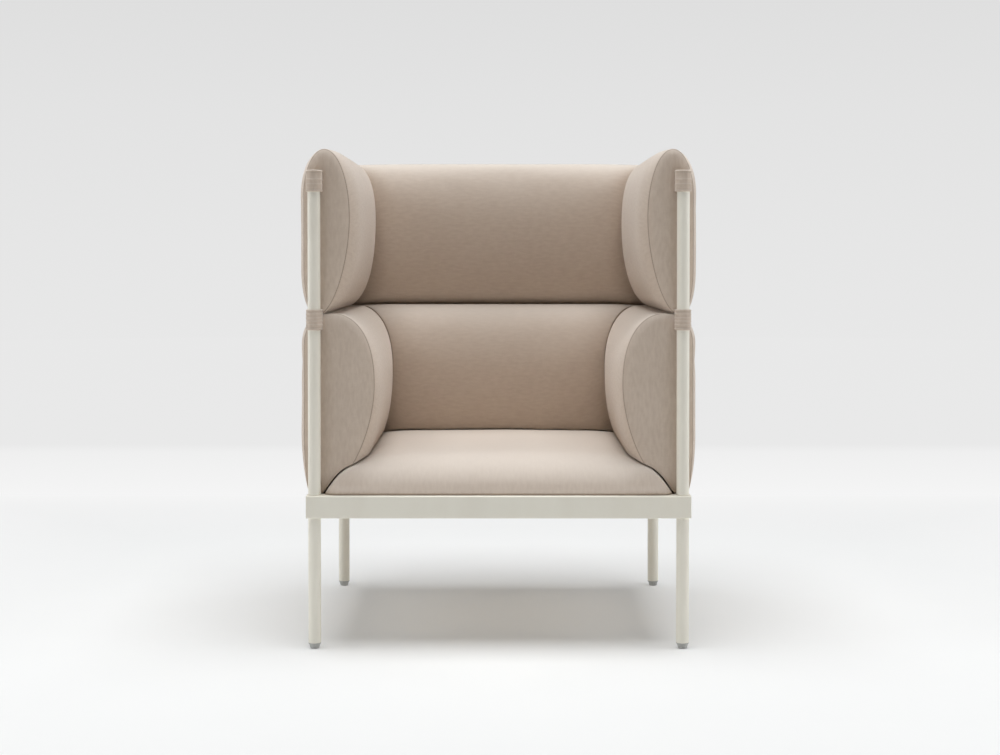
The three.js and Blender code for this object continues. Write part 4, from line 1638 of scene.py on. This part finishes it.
    def cover(self) -> BMesh:
        """Models the top, the seam round its edge and the underside.

        Returns:
            The closed shape, with the seam layers and the weave map.
        """
        places = self.grid()
        side = places.shape[0]
        mesh = bmesh.new()
        step = mesh.verts.layers.int.new(STEP_LAYER)
        uv = mesh.loops.layers.uv.new(WEAVE_MAP)
        mesh.verts.layers.float.new(SEAM_LAYER)
        mesh.verts.layers.float.new(ALONG_LAYER)
        bmesh.ops.create_grid(mesh, x_segments=side - 1, y_segments=side - 1, size=0.5)
        mesh.verts.ensure_lookup_table()
        flat = places.reshape(-1, 3)
        for vert, place in zip(mesh.verts, flat.tolist()):
            lump = noise.noise(Vector(place) * self.lump_scale) * self.unevenness
            rise = (place[2] - self.base) / self.thickness
            vert.co = (place[0], place[1], place[2] + lump * rise)
        weave = self.weave(places)
        for face in mesh.faces:
            for loop in face.loops:
                loop[uv].uv = weave[loop.vert.index]
        rim = []
        for number in range(8 * self.rings):
            row, column = self.ring_cell(number, self.rings)
            vert = mesh.verts[(self.rings + row) * side + self.rings + column]
            vert[step] = number
            rim.append(vert)
        self.close_underside(mesh, rim)
        bmesh.ops.recalc_face_normals(mesh, faces=mesh.faces)
        return mesh

    def weave(self, places: np.ndarray) -> list[list[float]]:
        """Returns the weave map of the top, measured over its crown."""
        middle = self.rings
        maps = []
        for axis in (1, 0):
            lengths = np.linalg.norm(np.diff(places, axis=axis), axis=-1)
            total = np.cumsum(lengths, axis=axis)
            zero = np.zeros_like(np.take(total, [0], axis=axis))
            total = np.concatenate([zero, total], axis=axis)
            maps.append(total - np.take(total, [middle], axis=axis))
        return np.stack(maps, axis=-1).reshape(-1, 2).tolist()

    def close_underside(self, mesh: BMesh, rim: list[BMVert]) -> None:
        """Sews the underside to the top along a drawn-in seam.

        Args:
            mesh: The top.
            rim: Its outermost ring, in order.
        """
        half_x, half_y, centre_x, centre_y = self.bounds()
        uv = mesh.loops.layers.uv[WEAVE_MAP]
        seam = mesh.verts.layers.float[SEAM_LAYER]
        along = mesh.verts.layers.float[ALONG_LAYER]
        top = set(mesh.faces)
        edge = np.array([vert.co for vert in rim])
        x, y = edge[:, 0] - centre_x, edge[:, 1] - centre_y
        pull = np.stack([
            np.sign(v) * (np.abs(v) / half) ** self.pull_power
            for v, half in ((x, half_x), (y, half_y))], axis=1)
        length = np.concatenate([[0], np.cumsum(np.linalg.norm(np.diff(edge, axis=0), axis=1))]).tolist()
        for inset, height, closeness in self.underside_rings:
            places = edge.copy()
            places[:, :2] -= pull * inset
            places[:, 2] = self.base + height
            rim = drawn_ring(mesh, rim, places)
            for vert, reach in zip(rim, length):
                vert[seam] = closeness
                vert[along] = reach
        filled_ring(mesh, rim, self.rings, 2 * self.rings)
        for face in mesh.faces:
            if face in top:
                continue
            for loop in face.loops:
                loop[uv].uv = (loop.vert.co.x, loop.vert.co.y - loop.vert.co.z)


class CoverPress:
    """Inflates covers like filled cushions with the cloth solver, all in one run."""

    first_frame = 1
    last_frame = 20
    quality = 4
    pressure = 3.5
    cloth_mass = 0.3
    stiffness = 28.0
    bending = 14.0

    def __init__(self) -> None:
        """Starts with no covers."""
        self.covers: list[tuple[bpy.types.Object, float]] = []

    def add(self, piece: bpy.types.Object, limit: float) -> None:
        """Takes a cover in, with the furthest that any point of it may move."""
        self.covers.append((piece, limit))

    def run(self) -> None:
        """Solves every cover and keeps the result in its mesh, with each move held to its limit."""
        scene = bpy.context.scene
        scene.frame_start, scene.frame_end = self.first_frame, self.last_frame
        rest = [self.points(piece.data) for piece, _ in self.covers]
        for piece, _ in self.covers:
            self.set_up(piece)
        for number in range(self.first_frame, self.last_frame + 1):
            scene.frame_set(number)
        graph = bpy.context.evaluated_depsgraph_get()
        solved = [self.points(piece.evaluated_get(graph).data) for piece, _ in self.covers]
        for (piece, limit), before, after in zip(self.covers, rest, solved):
            piece.modifiers.clear()
            move = after - before
            length = np.linalg.norm(move, axis=1, keepdims=True)
            held = limit * np.tanh(length / limit)
            points = before + move * held / np.maximum(length, 1e-9)
            piece.data.vertices.foreach_set("co", points.astype(np.float32).ravel())
            piece.data.update()
            log.info("%s: moved %.1f mm, held to %.1f mm", piece.name, length.max() / MM, held.max() / MM)
        scene.frame_set(self.first_frame)

    def set_up(self, piece: bpy.types.Object) -> None:
        """Gives a cover its cloth settings."""
        cloth = piece.modifiers.new("cover", "CLOTH")
        settings = cloth.settings
        settings.quality = self.quality
        settings.mass = self.cloth_mass
        for name in ("tension_stiffness", "compression_stiffness", "shear_stiffness"):
            setattr(settings, name, self.stiffness)
        settings.bending_stiffness = self.bending
        settings.vertex_group_mass = PIN_GROUP
        settings.use_pressure = True
        settings.uniform_pressure_force = self.pressure
        settings.effector_weights.gravity = 0.0
        cloth.collision_settings.use_collision = False
        cloth.point_cache.frame_start = self.first_frame
        cloth.point_cache.frame_end = self.last_frame

    @staticmethod
    def points(data: bpy.types.Mesh) -> np.ndarray:
        """Returns a mesh's points as rows."""
        places = np.zeros(len(data.vertices) * 3, np.float32)
        data.vertices.foreach_get("co", places)
        return places.reshape(-1, 3).astype(float)


class Upholstery:
    """The seven cushions, filled, settled on each other and sewn."""

    cover_limit = 0.0045
    seat_limit = 0.0022
    contact_gap = 0.0036
    contact_margin = 0.004
    pinned_height = 0.004
    pinned_seam = 0.2
    underside_height = 0.004
    seat_fill = 0.75
    fill = 0.8

    def __init__(self, plan: Plan, workshop: Workshop) -> None:
        """Keeps the plan and the workshop."""
        self.plan = plan
        self.workshop = workshop
        self.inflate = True

    def standing(self) -> list[StandingCushion]:
        """Returns the six cushions that stand between the posts."""
        names = {
            Shape.ARM: ("left_arm_cushion", "right_arm_cushion", "lower_back_cushion"),
            Shape.WING: ("left_wing_cushion", "right_wing_cushion", "upper_back_cushion")}
        return [
            StandingCushion(name, wall, shape, self.plan, self.inflate)
            for shape, row in names.items() for wall, name in zip(Wall, row)]

    def build(self) -> None:
        """Models, fills, smooths and settles the cushions, then hands them over."""
        seat_design = SeatCushion(self.plan, self.inflate)
        seat = self.workshop.piece(seat_design.cover(), "cover_seat_cushion")
        pairs = []
        for design in self.standing():
            pairs.append((design, self.workshop.piece(design.cover(), f"cover_{design.name}")))
        if self.inflate:
            press = CoverPress()
            self.pin(seat, math.inf)
            press.add(seat, self.seat_limit)
            for design, piece in pairs:
                closed_above = design.shape is Shape.ARM
                self.pin(piece, self.plan.junction - self.pinned_height if closed_above else math.inf)
                press.add(piece, self.cover_limit)
            press.run()
        self.subdivide(seat)
        self.finish(seat, "seat_cushion", self.seat_fill)
        tree = self.seat_tree(seat)
        for design, piece in pairs:
            self.subdivide(piece)
            points = design.settled(CoverPress.points(piece.data))
            if design.shape is Shape.ARM:
                points = self.clear_of_seat(points, tree)
            piece.data.vertices.foreach_set("co", points.astype(np.float32).ravel())
            piece.data.update()
            self.finish(piece, design.name, self.fill)

    def pin(self, piece: bpy.types.Object, top: float) -> None:
        """Pins the seams of a cover, its underside and what lies above a height."""
        data = piece.data
        points = CoverPress.points(data)
        seam = np.zeros(len(data.vertices), np.float32)
        data.attributes[SEAM_LAYER].data.foreach_get("value", seam)
        low = points[:, 2].min()
        held = (seam > self.pinned_seam) | (points[:, 2] < low + self.pinned_height) | (points[:, 2] > top)
        group = piece.vertex_groups.new(name=PIN_GROUP)
        group.add(np.flatnonzero(held).tolist(), 1.0, "REPLACE")

    def subdivide(self, piece: bpy.types.Object) -> None:
        """Applies one level of smooth subdivision."""
        modifier = piece.modifiers.new("smooth", "SUBSURF")
        modifier.levels = modifier.render_levels = 1
        graph = bpy.context.evaluated_depsgraph_get()
        smooth = bpy.data.meshes.new_from_object(piece.evaluated_get(graph), depsgraph=graph)
        smooth.name = piece.name
        piece.modifiers.clear()
        old = piece.data
        piece.data = smooth
        bpy.data.meshes.remove(old)
        piece.vertex_groups.clear()
        smooth.shade_smooth()

    def seat_tree(self, seat: bpy.types.Object) -> BVHTree:
        """Returns the top and sides of the seat as a search tree."""
        mesh = bmesh.new()
        mesh.from_mesh(seat.data)
        low = self.plan.rail_top + self.underside_height
        under = [f for f in mesh.faces if f.calc_center_median().z < low]
        bmesh.ops.delete(mesh, geom=under, context="FACES")
        tree = BVHTree.FromBMesh(mesh)
        mesh.free()
        return tree

    def clear_of_seat(self, points: np.ndarray, tree: BVHTree) -> np.ndarray:
        """Lifts the points of a cushion that lie inside the seat onto its surface.

        Args:
            points: The cushion's points.
            tree: The seat's top and sides.

        Returns:
            The points, with those inside the seat moved out.
        """
        low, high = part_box("seat_cushion")
        floor, ceiling = np.array(low)[:2] - self.contact_margin, np.array(high)[:2] + self.contact_margin
        near = np.all((points[:, :2] > floor) & (points[:, :2] < ceiling), axis=1)
        near &= points[:, 2] < high.z + self.contact_margin
        moved = points.copy()
        for index in np.flatnonzero(near):
            place = Vector(points[index])
            found, normal, _, _ = tree.find_nearest(place)
            if (place - found).dot(normal) < self.contact_gap:
                moved[index] = found + normal * self.contact_gap
        return moved

    def finish(self, piece: bpy.types.Object, node: str, fill: float) -> None:
        self.workshop.hand_over(piece, Finish.CLOTH, "chair", [node])


class HiddenParts:
    """Boards, brackets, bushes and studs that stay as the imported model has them."""

    # Every other node that shows is a board.
    finishes_by_prefix = {"post_bush": Finish.ZINC, "leg_stud": Finish.ZINC, "corner_bracket": Finish.COAT}

    def __init__(self, workshop: Workshop) -> None:
        """Keeps the workshop."""
        self.workshop = workshop

    def build(self) -> None:
        """Dresses every node that no piece stands for."""
        for name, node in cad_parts.items():
            if node.hide_render:
                continue
            finish = Finish.PLY
            for prefix, found in self.finishes_by_prefix.items():
                if name.startswith(prefix):
                    finish = found
            self.workshop.finishes.dress(node, finish)
            log.info("%s: kept, %s", name, finish.value)


@dataclass(frozen=True)
class SoftBox:
    """One rectangular lamp: where it hangs, what it points at, its sides in metres and its watts."""

    name: str
    place: tuple[float, float, float]
    target: tuple[float, float, float]
    width: float
    height: float
    watts: float


@dataclass
class Studio:
    """Pale floor, soft light from above and the camera of the photograph."""

    plan: Plan
    camera_distance: float = 3.646
    camera_height: float = 0.868
    lens: float = 59.47
    horizon_share: float = 0.1212
    side_share: float = 0.0014
    tilt_degrees: float = 1.2
    sensor_width: float = 36.0
    floor_radius: float = 14.0
    floor_drop: float = 0.0002
    # Share of backdrop grey that the camera sees on the floor near the chair: a painted glow that lightens
    # the chair's shadow.
    painted_shadow_lift: float = 0.222
    lift_span: Point2 = (1.1, 2.0)
    wall_span: Point2 = (-0.1, 0.2)
    floor_pale: Colour = (0.937, 0.943, 0.944)
    floor_grain: Colour = (0.933, 0.939, 0.940)

    # Distance from the chair and screen grey of the far floor, as the camera sees it.
    floor_greys = (
        (1.5, 0.965), (1.95, 0.961), (2.35, 0.953), (2.8, 0.946), (3.3, 0.938), (3.62, 0.914), (9.0, 0.911))
    # Share of the wall's span and screen grey, from the floor up.
    wall_greys = ((0.0, 0.914), (0.36, 0.902), (0.62, 0.890), (1.0, 0.862))

    boxes = (
        SoftBox("overhead", (0, -0.38, 7.0), (0, 0, 0.4), 5.0, 5.0, 500),
        SoftBox("inner_left", (-3.2, -0.8, 3.0), (0.35, 0, 0.8), 1.6, 1.6, 16.0),
        SoftBox("inner_right", (3.2, -0.8, 3.0), (-0.35, 0, 0.8), 1.6, 1.6, 16.0),
        SoftBox("left_side", (-4.0, -0.2, 0.9), (0, 0, 0.5), 4.0, 1.6, 39),
        SoftBox("right_side", (4.0, -0.2, 0.9), (0, 0, 0.5), 4.0, 1.6, 39),
        SoftBox("low_left", (-1.9, -2.1, 0.2), (0, -0.3, 0.4), 1.0, 0.5, 3.2),
        SoftBox("low_right", (1.9, -2.1, 0.2), (0, -0.3, 0.4), 1.0, 0.5, 3.2),
    )

    def build(self) -> None:
        """Builds the floor, the backdrop, the lamps and the camera."""
        self.floor()
        self.world()
        for box in self.boxes:
            self.lamp(box)
        self.camera()
        settings = bpy.context.scene.view_settings
        settings.view_transform = "Standard"

    def lamp(self, box: SoftBox) -> None:
        """Hangs one soft box."""
        data = bpy.data.lights.new(box.name, "AREA")
        data.shape = "RECTANGLE"
        data.size, data.size_y = box.width, box.height
        data.energy = box.watts
        lamp = bpy.data.objects.new(box.name, data)
        lamp.location = box.place
        lamp.rotation_euler = (Vector(box.target) - lamp.location).to_track_quat("-Z", "Y").to_euler()
        bpy.context.scene.collection.objects.link(lamp)

    def floor(self) -> None:
        """Lays a round pale floor whose far part is the backdrop's own grey."""
        mesh = bmesh.new()
        bmesh.ops.create_circle(mesh, cap_ends=True, segments=128, radius=self.floor_radius)
        bmesh.ops.translate(mesh, vec=(0, 0, -self.floor_drop), verts=mesh.verts)
        data = bpy.data.meshes.new("floor")
        mesh.to_mesh(data)
        mesh.free()
        floor = bpy.data.objects.new("floor", data)
        bpy.context.scene.collection.objects.link(floor)
        floor.data.materials.append(self.floor_material())

    def floor_material(self) -> bpy.types.Material:
        """Builds the floor: matt and pale near the chair under a painted glow of backdrop grey that lightens
        the chair's shadow for the camera, plain backdrop grey far off.
        """
        recipe = Recipe("studio_floor")
        place = recipe.object_place()
        across, along, _ = recipe.axes(place)
        reach = recipe.math("MAXIMUM", *(recipe.math("ABSOLUTE", axis) for axis in (across, along)))
        grain = recipe.noise(place, 3, 3)
        near = recipe.blend(
            recipe.spread(grain, *NOISE_SPAN), linear(self.floor_pale), linear(self.floor_grain))
        recipe.surface(Base_Color=near, Roughness=0.9, Specular_IOR_Level=0.1)
        ramp = recipe.nodes.new("ShaderNodeValToRGB")
        recipe.set(ramp, "Fac", recipe.spread(reach, 0.0, self.floor_radius))
        stops = [(distance / self.floor_radius, grey) for distance, grey in self.floor_greys]
        shade_ramp(ramp, [(0.0, self.floor_greys[0][1]), *stops])
        glow = recipe.nodes.new("ShaderNodeEmission")
        recipe.set(glow, "Color", ramp.outputs["Color"])
        rays = recipe.nodes.new("ShaderNodeLightPath").outputs
        seen = recipe.math("MAXIMUM", rays["Is Camera Ray"], rays["Is Glossy Ray"])
        seen = recipe.math("MAXIMUM", seen, rays["Is Transmission Ray"])
        # Painted light: near the chair the camera sees part of the glow over the floor, which lightens the
        # chair's shadow; further off it sees only the glow.
        share = recipe.math("MULTIPLY", recipe.spread(reach, *self.lift_span, self.painted_shadow_lift), seen)
        mix = recipe.nodes.new("ShaderNodeMixShader")
        for key, value in enumerate((share, recipe.shader.outputs[0], glow.outputs[0])):
            recipe.set(mix, key, value)
        recipe.links.new(mix.outputs[0], recipe.nodes["Material Output"].inputs["Surface"])
        return recipe.material

    def world(self) -> None:
        """Sets a grey backdrop that is seen directly and in gloss, and that lights nothing."""
        world = bpy.data.worlds.new("backdrop")
        bpy.context.scene.world = world
        world.use_nodes = True
        nodes, links = world.node_tree.nodes, world.node_tree.links
        dark = nodes["Background"]
        dark.inputs["Strength"].default_value = 0.0
        place = nodes.new("ShaderNodeTexCoord")
        split = nodes.new("ShaderNodeSeparateXYZ")
        links.new(place.outputs["Generated"], split.inputs[0])
        span = nodes.new("ShaderNodeMapRange")
        span.inputs["From Min"].default_value, span.inputs["From Max"].default_value = self.wall_span
        links.new(split.outputs[2], span.inputs["Value"])
        ramp = nodes.new("ShaderNodeValToRGB")
        links.new(span.outputs["Result"], ramp.inputs["Fac"])
        shade_ramp(ramp, self.wall_greys)
        shown = nodes.new("ShaderNodeBackground")
        links.new(ramp.outputs["Color"], shown.inputs["Color"])
        rays = nodes.new("ShaderNodeLightPath")
        seen = nodes.new("ShaderNodeMath")
        seen.operation = "MAXIMUM"
        for key, ray in enumerate(("Is Camera Ray", "Is Glossy Ray")):
            links.new(rays.outputs[ray], seen.inputs[key])
        mix = nodes.new("ShaderNodeMixShader")
        for key, node in enumerate((seen, dark, shown)):
            links.new(node.outputs[0], mix.inputs[key])
        links.new(mix.outputs[0], nodes["World Output"].inputs["Surface"])

    def camera(self) -> None:
        """Stands the camera in front of the chair, at the photograph's height."""
        data = bpy.data.cameras.new("camera")
        data.lens = self.lens
        data.sensor_width = self.sensor_width
        tilt = math.radians(self.tilt_degrees)
        data.shift_y = math.tan(tilt) * self.lens / data.sensor_width - self.horizon_share
        data.shift_x = self.side_share
        camera = bpy.data.objects.new("camera", data)
        camera.location = (0.0, self.plan.front_y - self.camera_distance, self.camera_height)
        camera.rotation_euler = (math.pi / 2 - tilt, 0.0, 0.0)
        bpy.context.scene.collection.objects.link(camera)
        bpy.context.scene.camera = camera


def main() -> None:
    """Builds the chair's pieces, dresses them and sets up the studio."""
    logging.basicConfig(level=logging.INFO, format="%(name)s: %(message)s", stream=sys.stdout)
    plan = Plan()
    workshop = Workshop(Finishes())
    SteelFrame(plan, workshop).build()
    Fittings(plan, workshop).build()
    PostSleeves(plan, workshop).build()
    Upholstery(plan, workshop).build()
    HiddenParts(workshop).build()
    Studio(plan).build()


if __name__ == "__main__":
    main()
